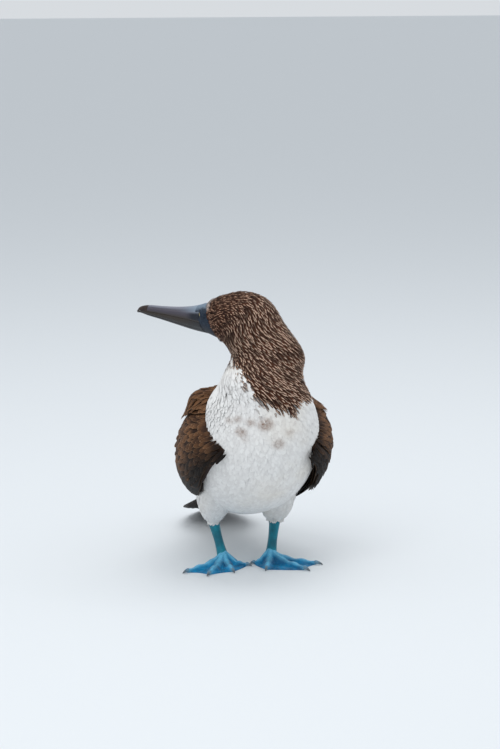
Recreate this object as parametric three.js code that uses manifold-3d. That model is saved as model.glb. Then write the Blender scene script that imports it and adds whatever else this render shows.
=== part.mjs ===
// A blue-footed booby standing on both webbed feet, life size, in millimetres, +Z up.
// The chest faces -Y, the bird's left side is +X, and the head is turned over the right shoulder.
import * as THREE from "three";
import { mergeVertices } from "three/addons/utils/BufferGeometryUtils.js";
import Module from "manifold-3d";

const wasm = await Module();
wasm.setup();

// Driving dimensions
const GAP = 0.35;
const CUTTER_GROWTH = 0.45;
const LEANING_GROWTH = 0.6;
const SMALLEST_DETAIL = 0.3;
const SLIVER = 0.05;
const BILL_LENGTH = 108;
const NAIL_LENGTH = 19;
const EYE_RADIUS = 7.6;
const EYE_ANGLE = 34;
const TARSUS_HALF_SPREAD = 30;
const HEEL_HALF_SPREAD = 39;
const HEEL_HEIGHT = 53;
const HEEL_BACK = 17;
const ANKLE_HEIGHT = 9;
const WEB_THICKNESS = 1.6;
const SCUTE_RISE = 0.5;
const SHANK_SCUTES = 6;
const TOE_SCUTES = 5;
const VANE_THICKNESS = 0.7;
const LONGEST_TAIL_FEATHER = 172;
const TAIL_FEATHER_PAIRS = 6;

// The head's own frame: its middle, and how far it is turned from the chest
const HEAD = { x: -19, y: -49, z: 310, turn: 140 };

const radians = THREE.MathUtils.degToRad;
const mix = THREE.MathUtils.lerp;

// A material in the plumage's or the skin's plain colour.
function paint(colour, roughness, metalness = 0) {
  return new THREE.MeshStandardMaterial({ color: colour, roughness, metalness });
}

const PAINTS = {
  headFeathers: paint(0x6b4a38, 0.85),
  whiteFeathers: paint(0xe6e3de, 0.9),
  brownFeathers: paint(0x4a3222, 0.8),
  flightFeathers: paint(0x2b1e18, 0.75),
  bill: paint(0x66707a, 0.4),
  nail: paint(0x4a3a36, 0.45),
  faceSkin: paint(0x2f4252, 0.55),
  eye: paint(0xe8d56a, 0.15),
  legSkin: paint(0x1c8fa8, 0.45),
  footSkin: paint(0x1f8fd0, 0.4),
  claw: paint(0x6d747a, 0.4),
};

// One section of a loft: its middle, the way its path turns from the chest's and climbs,
// and its half sizes to the side, up and down.
function section(x, y, z, turn, pitch, side, up, down) {
  return { x, y, z, turn, pitch, side, up, down };
}

// A section in the head's frame: forward of its middle and above it.
function headSection(forward, height, pitch, side, up, down) {
  const turn = radians(HEAD.turn);
  const x = HEAD.x - forward * Math.sin(turn);
  const y = HEAD.y - forward * Math.cos(turn);
  return section(x, y, HEAD.z + height, HEAD.turn, pitch, side, up, down);
}

// The section at a place between the stations, by Catmull-Rom through each of their values.
function sectionAt(stations, t) {
  const last = stations.length - 1;
  const i = Math.min(Math.max(Math.floor(t), 0), last - 1);
  const k = t - i;
  const before = stations[Math.max(i - 1, 0)];
  const from = stations[i];
  const to = stations[i + 1];
  const after = stations[Math.min(i + 2, last)];
  const found = {};
  for (const key in from) {
    const slope = (to[key] - before[key]) * k;
    const bend = (2 * before[key] - 5 * from[key] + 4 * to[key] - after[key]) * k * k;
    const twist = (3 * from[key] - before[key] - 3 * to[key] + after[key]) * k * k * k;
    found[key] = from[key] + 0.5 * (slope + bend + twist);
  }
  return found;
}

// The three axes of a section: along its path, to the bird's left, and to its back or crown.
function axesOf(found) {
  const turn = radians(found.turn);
  const pitch = radians(found.pitch);
  const ahead = new THREE.Vector3(-Math.sin(turn), -Math.cos(turn), 0);
  const left = new THREE.Vector3(Math.cos(turn), -Math.sin(turn), 0);
  const high = new THREE.Vector3(0, 0, 1);
  const up = ahead.clone().multiplyScalar(-Math.sin(pitch)).addScaledVector(high, Math.cos(pitch));
  const along = ahead.clone().multiplyScalar(Math.cos(pitch)).addScaledVector(high, Math.sin(pitch));
  return { along, left, up };
}

// A point on a loft: angle 0 is the left side, 90 degrees the top. Grow moves it out.
function loftPoint(stations, t, angle, grow = 0) {
  const found = sectionAt(stations, t);
  const { left, up } = axesOf(found);
  const a = radians(angle);
  const half = Math.sin(a) >= 0 ? found.up : found.down;
  return new THREE.Vector3(found.x, found.y, found.z)
    .addScaledVector(left, (found.side + grow) * Math.cos(a))
    .addScaledVector(up, (half + grow) * Math.sin(a));
}

// A closed geometry from rings of points, each ring with the same count, closed by a fan at each end.
function skinRings(rings) {
  const count = rings[0].length;
  const positions = rings.flat().flatMap((p) => [p.x, p.y, p.z]);
  const faces = [];
  for (let r = 0; r + 1 < rings.length; r += 1)
    for (let j = 0; j < count; j += 1) {
      const a = r * count + j;
      const b = r * count + ((j + 1) % count);
      faces.push(a, b, b + count, a, b + count, a + count);
    }
  for (const [ring, flip] of [[0, true], [rings.length - 1, false]]) {
    const middle = new THREE.Vector3();
    for (const p of rings[ring]) middle.addScaledVector(p, 1 / count);
    const centre = positions.length / 3;
    positions.push(middle.x, middle.y, middle.z);
    for (let j = 0; j < count; j += 1) {
      const a = ring * count + j;
      const b = ring * count + ((j + 1) % count);
      faces.push(centre, flip ? b : a, flip ? a : b);
    }
  }
  const made = new THREE.BufferGeometry();
  made.setAttribute("position", new THREE.Float32BufferAttribute(positions, 3));
  made.setIndex(faces);
  return made;
}

// Evenly spaced places on a loft, both ends included.
function places(from, to, steps) {
  return Array.from({ length: steps + 1 }, (_, i) => mix(from, to, i / steps));
}

// The rings of a loft at these places. Shift moves the first ring along its own path.
function loftRings(stations, at, sides, grow = 0, shift = 0) {
  const rings = at.map((t) =>
    Array.from({ length: sides }, (_, j) => loftPoint(stations, t, (360 * j) / sides, grow)),
  );
  const { along } = axesOf(sectionAt(stations, at[0]));
  for (const p of rings[0]) p.addScaledVector(along, shift);
  return rings;
}

function loftSolid(stations, at, sides, shift = 0) {
  return toSolid(skinRings(loftRings(stations, at, sides, 0, shift)));
}

// The same loft a little larger all round, for cutting what meets it.
function loftCutter(stations, at, sides, growth = CUTTER_GROWTH) {
  const rings = loftRings(stations, at, sides, growth, -GAP);
  const { along } = axesOf(sectionAt(stations, at[at.length - 1]));
  for (const p of rings[rings.length - 1]) p.addScaledVector(along, GAP);
  return toSolid(skinRings(rings));
}

// Between three.js geometries and the solids that join and cut. A loft whose faces point in is turned round.
function toSolid(geometry) {
  const bare = new THREE.BufferGeometry().setAttribute("position", geometry.getAttribute("position"));
  if (geometry.index) bare.setIndex(geometry.index);
  const merged = mergeVertices(bare, 1e-4);
  const triVerts = new Uint32Array(merged.index.array);
  const vertProperties = merged.getAttribute("position").array;
  const made = new wasm.Manifold(new wasm.Mesh({ numProp: 3, vertProperties, triVerts }));
  if (made.volume() > 0) return made;
  for (let i = 0; i < triVerts.length; i += 3)
    [triVerts[i + 1], triVerts[i + 2]] = [triVerts[i + 2], triVerts[i + 1]];
  return new wasm.Manifold(new wasm.Mesh({ numProp: 3, vertProperties, triVerts }));
}

function toGeometry(solid) {
  const { vertProperties, triVerts, numProp, numVert } = solid.getMesh();
  const positions = new Float32Array(numVert * 3);
  for (let i = 0; i < numVert; i += 1)
    positions.set(vertProperties.subarray(i * numProp, i * numProp + 3), i * 3);
  const made = new THREE.BufferGeometry();
  made.setAttribute("position", new THREE.BufferAttribute(positions, 3));
  made.setIndex(new THREE.BufferAttribute(new Uint32Array(triVerts), 1));
  return made;
}

// The largest closed surface of a solid, so that no loose scrap is kept.
function largest(solid) {
  const pieces = solid.decompose().sort((a, b) => b.volume() - a.volume());
  return pieces[0];
}

// Pieces joined into one solid, with the parts that other solids take cut away.
function join(pieces, cutters = []) {
  let made = pieces[0];
  for (const piece of pieces.slice(1)) made = made.add(piece);
  made = made.simplify(SMALLEST_DETAIL);
  for (const cutter of cutters) made = made.subtract(cutter);
  return largest(made.simplify(SLIVER));
}

const bird = new THREE.Group();

function addNode(name, solid, material) {
  const mesh = new THREE.Mesh(toGeometry(solid), material);
  mesh.name = name;
  bird.add(mesh);
  return mesh;
}

// The body's path, from the rump through the breast and neck to the feathers' edge at the bill
const BODY = [
  section(3, 146, 64, 0, 19, 21, 10, 11),
  section(3, 118, 75, 0, 20, 37, 23, 25),
  section(3, 82, 90, 0, 22, 54, 37, 41),
  section(3, 36, 109, 0, 25, 67, 49, 57),
  section(3, -14, 132, 0, 28, 72, 56, 65),
  section(3, -56, 158, 0, 37, 72, 60, 64),
  section(1, -83, 190, 6, 58, 68, 56, 56),
  section(-2, -90, 221, 24, 77, 60, 49, 46),
  section(1, -87, 247, 62, 86, 47, 48, 49),
  section(8, -80, 270, 112, 86, 36, 44, 44),
  headSection(-25, -21, 64, 33, 42, 38),
  headSection(-11, -3, 44, 30.5, 40, 40),
  headSection(6, 2.5, 27, 27.5, 35.5, 37),
  headSection(24, 0, 2, 23, 28, 29),
  headSection(38.5, -5, -28, 17.5, 24, 25.5),
];
const RUMP_END = 0;
const CHEST_TOP = 6.4;
const NECK_MIDDLE = 8.3;
const NAPE = 10.2;
const FEATHER_EDGE = BODY.length - 1;
const BODY_SIDES = 28;

// Each part of the body, and the places of its rings along the path
const BODY_PARTS = [
  ["torso", places(RUMP_END, CHEST_TOP, 15), PAINTS.whiteFeathers],
  ["neck_lower", places(CHEST_TOP, NECK_MIDDLE, 5), PAINTS.headFeathers],
  ["neck_upper", places(NECK_MIDDLE, NAPE, 5), PAINTS.headFeathers],
  ["head", places(NAPE, FEATHER_EDGE, 13), PAINTS.headFeathers],
];
const HEAD_PLACES = BODY_PARTS[3][1];
const ALL_PLACES = BODY_PARTS.flatMap(([, at], i) => (i ? at.slice(1) : at));
const bodyCutter = loftCutter(BODY, ALL_PLACES, BODY_SIDES);

function addBody() {
  for (const [name, at, material] of BODY_PARTS)
    addNode(name, loftSolid(BODY, at, BODY_SIDES, at[0] > RUMP_END ? GAP : 0), material);
}

// The face and bill share one path, along the line of the mouth. Heights are above and below that line.
const FACE_START = 38.5;
const GAPE_DROP = -7;
const BILL_START = 52;
const BILL_TIP = BILL_START + BILL_LENGTH;

const FACE = [
  headSection(FACE_START, -5, -28, 16.4, 22.8, 24.2),
  headSection(FACE_START + 7, -4, -21, 15.6, 20.2, 20.8),
  headSection(BILL_START, -4, -15, 14.5, 18, 17.5),
];

// The upper half of the bill, its sides, and the lower half, at places along its length.
const BILL = [
  headSection(BILL_START, GAPE_DROP, -14, 14.4, 20.8, 14.5),
  headSection(BILL_START + 18, GAPE_DROP + 1.2, -6, 11.8, 15.5, 13.5),
  headSection(BILL_START + 42, GAPE_DROP + 2.6, -1, 9.2, 11, 11),
  headSection(BILL_START + 68, GAPE_DROP + 3.8, 0, 6.9, 8.4, 8),
  headSection(BILL_TIP - NAIL_LENGTH, GAPE_DROP + 4.4, 0, 5.2, 7.2, 5.6),
  headSection(BILL_TIP - 6, GAPE_DROP + 4.2, -4, 3.2, 4.6, 3),
  headSection(BILL_TIP, GAPE_DROP + 2.6, -10, 1.1, 1.2, 1.4),
];
const NAIL_START = 4;
const BILL_END = BILL.length - 1;
const GROOVE_ANGLE = 46;
const GROOVE_WIDTH = 11;
const GROOVE_DEPTH = 0.9;

// Half of the bill as rings: the upper half keeps angles 0 to 180, the lower half the rest.
function billHalf(from, to, steps, upper, shift) {
  const half = 11;
  const rings = [];
  for (let i = 0; i <= steps; i += 1) {
    const t = mix(from, to, i / steps);
    const { up, along } = axesOf(sectionAt(BILL, t));
    const ring = [];
    for (let j = 0; j <= half; j += 1) {
      const angle = (180 * j) / half;
      const from_crest = Math.abs(90 - angle);
      const groove = upper && t < NAIL_START ? Math.max(0, 1 - Math.abs(from_crest - GROOVE_ANGLE) / GROOVE_WIDTH) : 0;
      const p = loftPoint(BILL, t, upper ? angle : -angle, -GROOVE_DEPTH * groove);
      ring.push(p.addScaledVector(up, upper ? GAP / 2 : -GAP / 2));
    }
    rings.push(ring);
    if (i === 0) for (const p of ring) p.addScaledVector(along, shift);
  }
  return toSolid(skinRings(rings));
}

function eyeCentre(side) {
  const { left } = axesOf(FACE[0]);
  const middle = headSection(FACE_START + 8, 3.5, 0, 0, 0, 0);
  return new THREE.Vector3(middle.x, middle.y, middle.z).addScaledVector(left, side * 9.2);
}

function ball(centre, radius, wide, high) {
  return toSolid(new THREE.SphereGeometry(radius, wide, high).translate(centre.x, centre.y, centre.z));
}

// A lid is a ring round the eye, facing forward and out as the eye does.
function lidRing(side) {
  const { left } = axesOf(FACE[0]);
  const ahead = axesOf(section(0, 0, 0, HEAD.turn, 0, 0, 0, 0)).along;
  const outward = left.clone().multiplyScalar(side * Math.sin(radians(EYE_ANGLE)));
  outward.addScaledVector(ahead, Math.cos(radians(EYE_ANGLE)));
  const ring = new THREE.TorusGeometry(6.1, 1.5, 5, 14);
  ring.applyQuaternion(new THREE.Quaternion().setFromUnitVectors(new THREE.Vector3(0, 0, 1), outward));
  const place = eyeCentre(side).addScaledVector(outward, 4.3);
  return toSolid(ring.translate(place.x, place.y, place.z));
}

function addFaceAndBill() {
  const mask = loftSolid(FACE, places(0, FACE.length - 1, 5), 22, GAP);
  const sockets = [1, -1].map((side) => ball(eyeCentre(side), EYE_RADIUS + GAP, 14, 9));
  const lids = [1, -1].map(lidRing);
  const headCutter = loftCutter(BODY, HEAD_PLACES, BODY_SIDES);
  const billCutter = loftCutter(BILL, places(0, BILL_END, 14), 22);
  addNode("face", join([mask, ...lids], [...sockets, headCutter, billCutter]), PAINTS.faceSkin);
  for (const [name, side] of [["eye_left", 1], ["eye_right", -1]]) {
    const eye = ball(eyeCentre(side), EYE_RADIUS, 14, 9).subtract(headCutter).subtract(billCutter);
    addNode(name, largest(eye), PAINTS.eye);
  }
  addNode("bill_upper", billHalf(0, NAIL_START, 11, true, 0), PAINTS.bill);
  addNode("bill_nail", billHalf(NAIL_START, BILL_END, 6, true, GAP), PAINTS.nail);
  addNode("bill_lower", billHalf(0, BILL_END, 13, false, 0), PAINTS.bill);
}

// A feather as a thin closed blade. Its path gives a point, the way it runs and the way out;
// cross is the slope from its left edge to its right one, so that it lies over its neighbour.
const LONG_VANE = [[0, 0.3], [0.3, 0.92], [0.75, 0.92], [1, 0.2]];
const SHORT_VANE = [[0, 0.45], [0.72, 0.92], [1, 0.25]];

function vane(widths, pathAt, halfWidth, cross = 0, camber = 0.05) {
  const rings = widths.map(([k, share]) => {
    const here = pathAt(k);
    const ahead = pathAt(Math.min(k + 0.04, 1.03)).point.sub(pathAt(k - 0.04).point).normalize();
    const across = new THREE.Vector3().crossVectors(here.out, ahead).normalize();
    const out = new THREE.Vector3().crossVectors(ahead, across).normalize();
    const wide = halfWidth * share;
    const thick = VANE_THICKNESS / 2;
    const corner = (side, lift) =>
      here.point.clone().addScaledVector(across, side * wide).addScaledVector(out, lift + side * cross * wide);
    const sag = -camber * wide;
    return [
      corner(1, sag - thick * 0.7),
      corner(1, sag + thick * 0.7),
      corner(0, thick * 1.3),
      corner(-1, sag + thick * 0.7),
      corner(-1, sag - thick * 0.7),
      corner(0, -thick),
    ];
  });
  return toSolid(skinRings(rings));
}

// The wing's own curved surface, from the bend of the wing to the tip over the tail
const WING = [
  section(3, -97, 184, 0, 36, 64, 66, 64),
  section(3, -62, 170, 0, 32, 89, 76, 76),
  section(3, -16, 145, 0, 28, 95, 73, 82),
  section(3, 38, 118, 0, 25, 88, 64, 70),
  section(4, 96, 94, 0, 22, 70, 48, 46),
  section(6, 154, 76, 0, 18, 50, 32, 24),
  section(9, 208, 62, 0, 15, 35, 21, 12),
  section(12, 254, 51, 0, 13, 25, 14, 7),
];

// A path on the wing's surface between two places on it, at a depth below it. The right wing mirrors the left.
function wingPath(side, root, tip, lift) {
  const angleOf = (k) => {
    const angle = mix(root[1], tip[1], k);
    return side > 0 ? angle : 180 - angle;
  };
  return (k) => {
    const t = mix(root[0], tip[0], k);
    const rise = mix(lift[0], lift[1], Math.min(1, Math.max(0, k * 3.3)));
    const point = loftPoint(WING, t, angleOf(k), rise);
    const out = loftPoint(WING, t, angleOf(k), rise + 1).sub(point).normalize();
    return { point, out };
  };
}

// The tiers of a folded wing, innermost first: how many feathers, where their roots and tips
// run from the lower edge to the upper one, their half width, their depth and their slope.
function tier(count, root, tip, half, lift, cross) {
  return { count, root, tip, half, lift, cross };
}

const WING_TIERS = [
  tier(6, [[3.0, -20], [2.8, 12]], [[5.2, -20], [7.0, 30]], 11.5, [-18, -12], 0.1),
  tier(6, [[2.1, -38], [2.2, 50]], [[4.1, -44], [5.0, 48]], 17, [-14, -8.4], 0.12),
  tier(6, [[1.2, -36], [1.2, 56]], [[2.9, -43], [3.3, 54]], 17, [-10, -4.6], 0.12),
  tier(6, [[0.4, -32], [0.4, 60]], [[1.95, -41], [2.15, 58]], 16.5, [-7, -0.7], 0.12),
];

function wingTier(side, { count, root, tip, half, lift, cross }) {
  const between = ([from, to], k) => [mix(from[0], to[0], k), mix(from[1], to[1], k)];
  const feathers = [];
  for (let i = 0; i < count; i += 1) {
    const k = i / (count - 1);
    const path = wingPath(side, between(root, k), between(tip, k), lift);
    feathers.push(vane(tip[1][0] > 4 ? LONG_VANE : SHORT_VANE, path, half, side * cross));
  }
  return feathers;
}

// The arm: a curved pad that reaches in to the body and carries the quills.
function wingPad(side) {
  const inner = -26;
  const rings = [];
  const steps = 7;
  for (let i = 0; i <= steps; i += 1) {
    const t = mix(0.05, 3.4, i / steps);
    const outer = mix(-4.2, -16.5, i / steps);
    const shrink = 1 - 0.35 * Math.pow(Math.abs(2 * (i / steps) - 1), 3);
    const ring = [];
    const arc = 6;
    for (let j = 0; j <= arc; j += 1) {
      const angle = mix(-38, 60, j / arc) * shrink;
      ring.push(loftPoint(WING, t, side > 0 ? angle : 180 - angle, outer));
    }
    for (let j = arc; j >= 0; j -= 1) {
      const angle = mix(-38, 60, j / arc) * shrink;
      ring.push(loftPoint(WING, t, side > 0 ? angle : 180 - angle, inner));
    }
    rings.push(ring);
  }
  return toSolid(skinRings(rings));
}

function addWings(cutters) {
  for (const [name, side] of [["wing_left", 1], ["wing_right", -1]]) {
    const pieces = [wingPad(side), ...WING_TIERS.flatMap((tier) => wingTier(side, tier))];
    addNode(name, join(pieces, [bodyCutter, ...cutters]), PAINTS.brownFeathers);
  }
}

// The tail: its root carries on from the rump, and its feathers fan from it in a shallow roof.
const TAIL = { x: 3, y: 146, z: 64, slope: 19.5, yaw: 4, spread: 3.3 };
const TAIL_LAYER = 1.1;

function tailPath(place, length, level) {
  const swing = radians(TAIL.yaw + place * TAIL.spread);
  const slope = radians(TAIL.slope);
  const across = new THREE.Vector3(Math.cos(swing), -Math.sin(swing), 0);
  return (k) => {
    const run = mix(4, length, k);
    const droop = 5 * Math.pow(run / LONGEST_TAIL_FEATHER, 2);
    const point = new THREE.Vector3(TAIL.x, TAIL.y, TAIL.z + level - droop);
    point.addScaledVector(across, place * 2.6);
    point.x += Math.sin(swing) * run * Math.cos(slope);
    point.y += Math.cos(swing) * run * Math.cos(slope);
    point.z += -Math.sin(slope) * run;
    return { point, out: new THREE.Vector3(0, Math.sin(slope), Math.cos(slope)) };
  };
}

function addTail() {
  const pieces = [];
  const rootRings = [];
  for (const [back, share] of [[-2, 0.95], [14, 0.95], [34, 0.8], [52, 0.4]]) {
    const ring = [];
    for (let j = 0; j < 18; j += 1) {
      const angle = radians((360 * j) / 18);
      const slope = radians(TAIL.slope);
      const high = Math.sin(angle) * 8 * share;
      const sideways = Math.cos(angle) * 20 * share + back * Math.sin(radians(TAIL.yaw));
      const point = new THREE.Vector3(TAIL.x + sideways, TAIL.y, TAIL.z);
      point.y += back * Math.cos(slope) + high * Math.sin(slope);
      point.z += -back * Math.sin(slope) + high * Math.cos(slope);
      ring.push(point);
    }
    rootRings.push(ring);
  }
  pieces.push(toSolid(skinRings(rootRings)));
  let level = 3.5;
  for (let i = 0; i < TAIL_FEATHER_PAIRS; i += 1)
    for (const side of [1, -1]) {
      const length = LONGEST_TAIL_FEATHER * (1 - 0.062 * i - 0.006 * i * i);
      pieces.push(vane(LONG_VANE, tailPath(side * (i + 0.5), length, level), 12.5 - 0.5 * i, 0, 0));
      level -= TAIL_LAYER;
    }
  for (let i = 0; i < 5; i += 1) {
    const place = 2.2 * (i % 2 ? -1 : 1) * Math.ceil(i / 2);
    pieces.push(vane(SHORT_VANE, tailPath(place, 62 - 3 * i, 3.5 + TAIL_LAYER * (5 - i)), 11, 0, 0));
    pieces.push(vane(SHORT_VANE, tailPath(place, 72 - 3 * i, level - TAIL_LAYER * (4 - i)), 11, 0, 0));
  }
  addNode("tail", join(pieces, [bodyCutter]), PAINTS.flightFeathers);
}

// A leg's feathered part, from inside the belly to the heel
function thighSections(side) {
  return [
    section(side * 35, -6, 114, 0, -90, 27, 34, 34),
    section(side * 38, 2, 90, 0, -90, 25.5, 32, 31),
    section(side * 39, 9, 69, 0, -90, 19.5, 22, 21),
    section(side * HEEL_HALF_SPREAD, HEEL_BACK - 1, HEEL_HEIGHT - 3, 0, -90, 8.2, 9.4, 9),
  ];
}

// The scaly shank, from the heel to where the toes part
const SHANK_SIDES = 12;

function shankSections(side) {
  const at = (k, half, deep) =>
    section(
      side * mix(HEEL_HALF_SPREAD, TARSUS_HALF_SPREAD, k),
      mix(HEEL_BACK, 0, k),
      mix(HEEL_HEIGHT - 3, ANKLE_HEIGHT, k),
      0, -90, half, deep, deep,
    );
  return [at(0, 6.6, 8.4), at(0.2, 5.6, 7), at(0.55, 4.9, 5.8), at(0.85, 5.6, 6.2), at(0.97, 6.8, 7.2)];
}

// The rings of a shank: down its front each scute starts flush and ends raised over the next one.
function shankSolid(side) {
  const stations = shankSections(side);
  const first = 0.5;
  const last = 3.1;
  const rings = [...loftRings(stations, [0, 0.3], SHANK_SIDES, 0, GAP)];
  for (let i = 0; i < SHANK_SCUTES; i += 1)
    for (const [share, rise] of [[0.02, 0], [0.98, SCUTE_RISE]]) {
      const t = mix(first, last, (i + share) / SHANK_SCUTES);
      rings.push(Array.from({ length: SHANK_SIDES }, (_, j) => {
        const angle = (360 * j) / SHANK_SIDES;
        return loftPoint(stations, t, angle, angle > 180 ? rise : 0);
      }));
    }
  rings.push(...loftRings(stations, [3.2, 3.6, 4], SHANK_SIDES));
  return toSolid(skinRings(rings));
}

// Each foot's toes: the way each points, outward from straight ahead, and its length without the claw
const FEET = {
  right: { side: -1, toes: [[-52, 32, 4.2], [-3, 46, 4.6], [27, 62, 5], [53, 64, 4.8]] },
  left: { side: 1, toes: [[-64, 26, 4.2], [-19, 46, 4.6], [28, 63, 5], [58, 58, 4.8]] },
};
const TOE_NAMES = ["hind", "inner", "middle", "outer"];
const CLAW_LENGTHS = [7, 9, 10, 9];

function toeDirection(side, angle) {
  return new THREE.Vector3(side * Math.sin(radians(angle)), -Math.cos(radians(angle)), 0);
}

// Places along a toe and how far its top stands up there: a scute starts flush and ends raised.
function toeSteps() {
  const from = 0.36;
  const steps = [[0, 0], [0.15, 0], [0.3, 0]];
  for (let i = 0; i < TOE_SCUTES; i += 1) {
    steps.push([mix(from, 0.96, (i + 0.03) / TOE_SCUTES), 0]);
    steps.push([mix(from, 0.96, (i + 0.97) / TOE_SCUTES), SCUTE_RISE]);
  }
  return [...steps, [1, 0]];
}

// A toe: a tube that sinks from the ankle to the floor, with a swelling at each joint.
function toe(side, [angle, length, radius]) {
  const ahead = toeDirection(side, angle);
  const across = new THREE.Vector3(-ahead.y, ahead.x, 0);
  const rings = [];
  for (const [k, rise] of toeSteps()) {
    const knuckle = 1 + 0.1 * Math.cos(2 * Math.PI * (3 * k - 0.1));
    const r = radius * mix(1, 0.52, k) * knuckle;
    const height = mix(ANKLE_HEIGHT - 1.6, 0, Math.min(1, k * 2.6)) + r * 0.72;
    const middle = new THREE.Vector3(side * TARSUS_HALF_SPREAD, 0, height).addScaledVector(ahead, length * k);
    const ring = [];
    for (let j = 0; j < 8; j += 1) {
      const a = radians((360 * (j + 0.5)) / 8);
      const out = Math.sin(a) > 0 ? r + rise : r;
      ring.push(middle.clone().addScaledVector(across, Math.cos(a) * out).add(new THREE.Vector3(0, 0, Math.sin(a) * out)));
    }
    rings.push(ring);
  }
  return toSolid(skinRings(rings));
}

// The web: one flat sheet over the toes, its front edge scalloped between their tips.
function web({ side, toes }) {
  const shape = new THREE.Shape();
  const tipOf = ([angle, length]) => toeDirection(side, angle).multiplyScalar(length - 2);
  shape.moveTo(0, 3);
  toes.forEach((one, i) => {
    const tip = tipOf(one);
    if (i === 0) shape.lineTo(tip.x, tip.y);
    else {
      const before = tipOf(toes[i - 1]);
      const middle = before.clone().add(tip).multiplyScalar(0.5 * 0.9);
      shape.quadraticCurveTo(middle.x, middle.y, tip.x, tip.y);
    }
  });
  shape.lineTo(0, 3);
  const sheet = new THREE.ExtrudeGeometry(shape, { depth: WEB_THICKNESS, bevelEnabled: false, curveSegments: 6 });
  return toSolid(sheet.translate(side * TARSUS_HALF_SPREAD, 0, 0));
}

// The knuckle that the toes part from, and the sloping instep before it
function instep(side) {
  const shape = new THREE.SphereGeometry(1, 14, 10).scale(8, 9, 8);
  return toSolid(shape.translate(side * TARSUS_HALF_SPREAD, -2, ANKLE_HEIGHT - 4));
}

function claw(side, [angle, length, radius], clawLength) {
  const ahead = toeDirection(side, angle);
  const across = new THREE.Vector3(-ahead.y, ahead.x, 0);
  const base = radius * 0.5;
  const rings = [];
  for (let i = 0; i <= 4; i += 1) {
    const k = i / 4;
    const r = base * Math.sqrt(1 - 0.93 * k);
    const height = 1.3 + base * (0.9 - 0.9 * k * k);
    const middle = new THREE.Vector3(side * TARSUS_HALF_SPREAD, 0, height);
    middle.addScaledVector(ahead, length + GAP + clawLength * k);
    const ring = [];
    for (let j = 0; j < 7; j += 1) {
      const a = radians((360 * j) / 7);
      const point = middle.clone().addScaledVector(across, Math.cos(a) * r * 0.85);
      ring.push(point.add(new THREE.Vector3(0, 0, Math.sin(a) * r)));
    }
    rings.push(ring);
  }
  return toSolid(skinRings(rings));
}

function addLegs() {
  const floor = toSolid(new THREE.BoxGeometry(600, 600, 40).translate(0, 0, -20));
  const thighCutters = [];
  for (const [name, foot] of Object.entries(FEET)) {
    const { side, toes } = foot;
    const thigh = loftSolid(thighSections(side), places(0, 3, 9), 20);
    thighCutters.push(loftCutter(thighSections(side), places(0, 3, 9), 20));
    const shank = shankSolid(side);
    const shankCutter = loftCutter(shankSections(side), places(0, 4, 9), SHANK_SIDES, LEANING_GROWTH);
    addNode(`thigh_${name}`, join([thigh], [bodyCutter]), PAINTS.whiteFeathers);
    addNode(`shank_${name}`, shank, PAINTS.legSkin);
    const footPieces = [web(foot), instep(side), ...toes.map((one) => toe(side, one))];
    const clawSolids = toes.map((one, i) => claw(side, one, CLAW_LENGTHS[i]));
    addNode(`foot_${name}`, join(footPieces, [floor, shankCutter]), PAINTS.footSkin);
    clawSolids.forEach((one, i) => addNode(`claw_${name}_${TOE_NAMES[i]}`, one, PAINTS.claw));
  }
  return thighCutters;
}

addBody();
addFaceAndBill();
const thighCutters = addLegs();
addWings(thighCutters);
addTail();

// The origin is the middle of the bird's box, on the floor.
const box = new THREE.Box3().setFromObject(bird);
const middle = box.getCenter(new THREE.Vector3());
bird.position.set(-middle.x, -middle.y, -box.min.z);

export default bird;
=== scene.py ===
"""The looks of a blue-footed booby: its skin, feathers, bill, eyes and webbed feet."""
import math

import bpy
import numpy as np
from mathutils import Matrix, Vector
from mathutils.kdtree import KDTree


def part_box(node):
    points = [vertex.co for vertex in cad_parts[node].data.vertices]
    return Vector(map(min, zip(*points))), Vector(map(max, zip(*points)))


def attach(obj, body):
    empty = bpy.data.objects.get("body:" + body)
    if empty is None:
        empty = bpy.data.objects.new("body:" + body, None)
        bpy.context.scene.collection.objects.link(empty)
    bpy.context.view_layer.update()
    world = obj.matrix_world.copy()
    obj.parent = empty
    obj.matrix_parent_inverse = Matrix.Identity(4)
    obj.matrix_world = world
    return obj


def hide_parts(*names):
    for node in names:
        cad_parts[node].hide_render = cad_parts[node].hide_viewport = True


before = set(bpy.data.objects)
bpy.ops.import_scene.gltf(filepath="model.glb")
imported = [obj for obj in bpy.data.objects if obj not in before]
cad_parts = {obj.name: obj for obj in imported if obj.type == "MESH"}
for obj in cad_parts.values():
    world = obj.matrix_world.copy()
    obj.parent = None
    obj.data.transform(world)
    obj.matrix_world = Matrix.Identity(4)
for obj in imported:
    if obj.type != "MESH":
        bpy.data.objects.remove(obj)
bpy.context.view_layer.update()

RANDOM = np.random.default_rng(11)
SIDES = (("left", 1), ("right", -1))  # the bird's own, and which way x runs on each

# Driving dimensions in millimetres, the same as the part's own but for the eyes, which look a
# little further out so that their lids clear the bill
BILL_LENGTH = 108
NAIL_LENGTH = 19
EYE_RADIUS = 7.6
EYE_ANGLE = 43
TARSUS_HALF_SPREAD = 30
HEEL_HALF_SPREAD = 39
HEEL_HEIGHT = 53
HEEL_BACK = 17
ANKLE_HEIGHT = 9
LONGEST_TAIL_FEATHER = 172
HEAD = {"x": -19, "y": -49, "z": 310, "turn": 140}

# The camera, from the photograph: how far the chest is turned from it, how high it looks from,
# how far off it stands and the focal length that gives the photograph's framing
CHEST_TURN = 12
CAMERA_RISE = 9.5
CAMERA_DISTANCE = 3200
CAMERA_LENS = 128
CAMERA_AIM = (-4.8, -40, 241)

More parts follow.
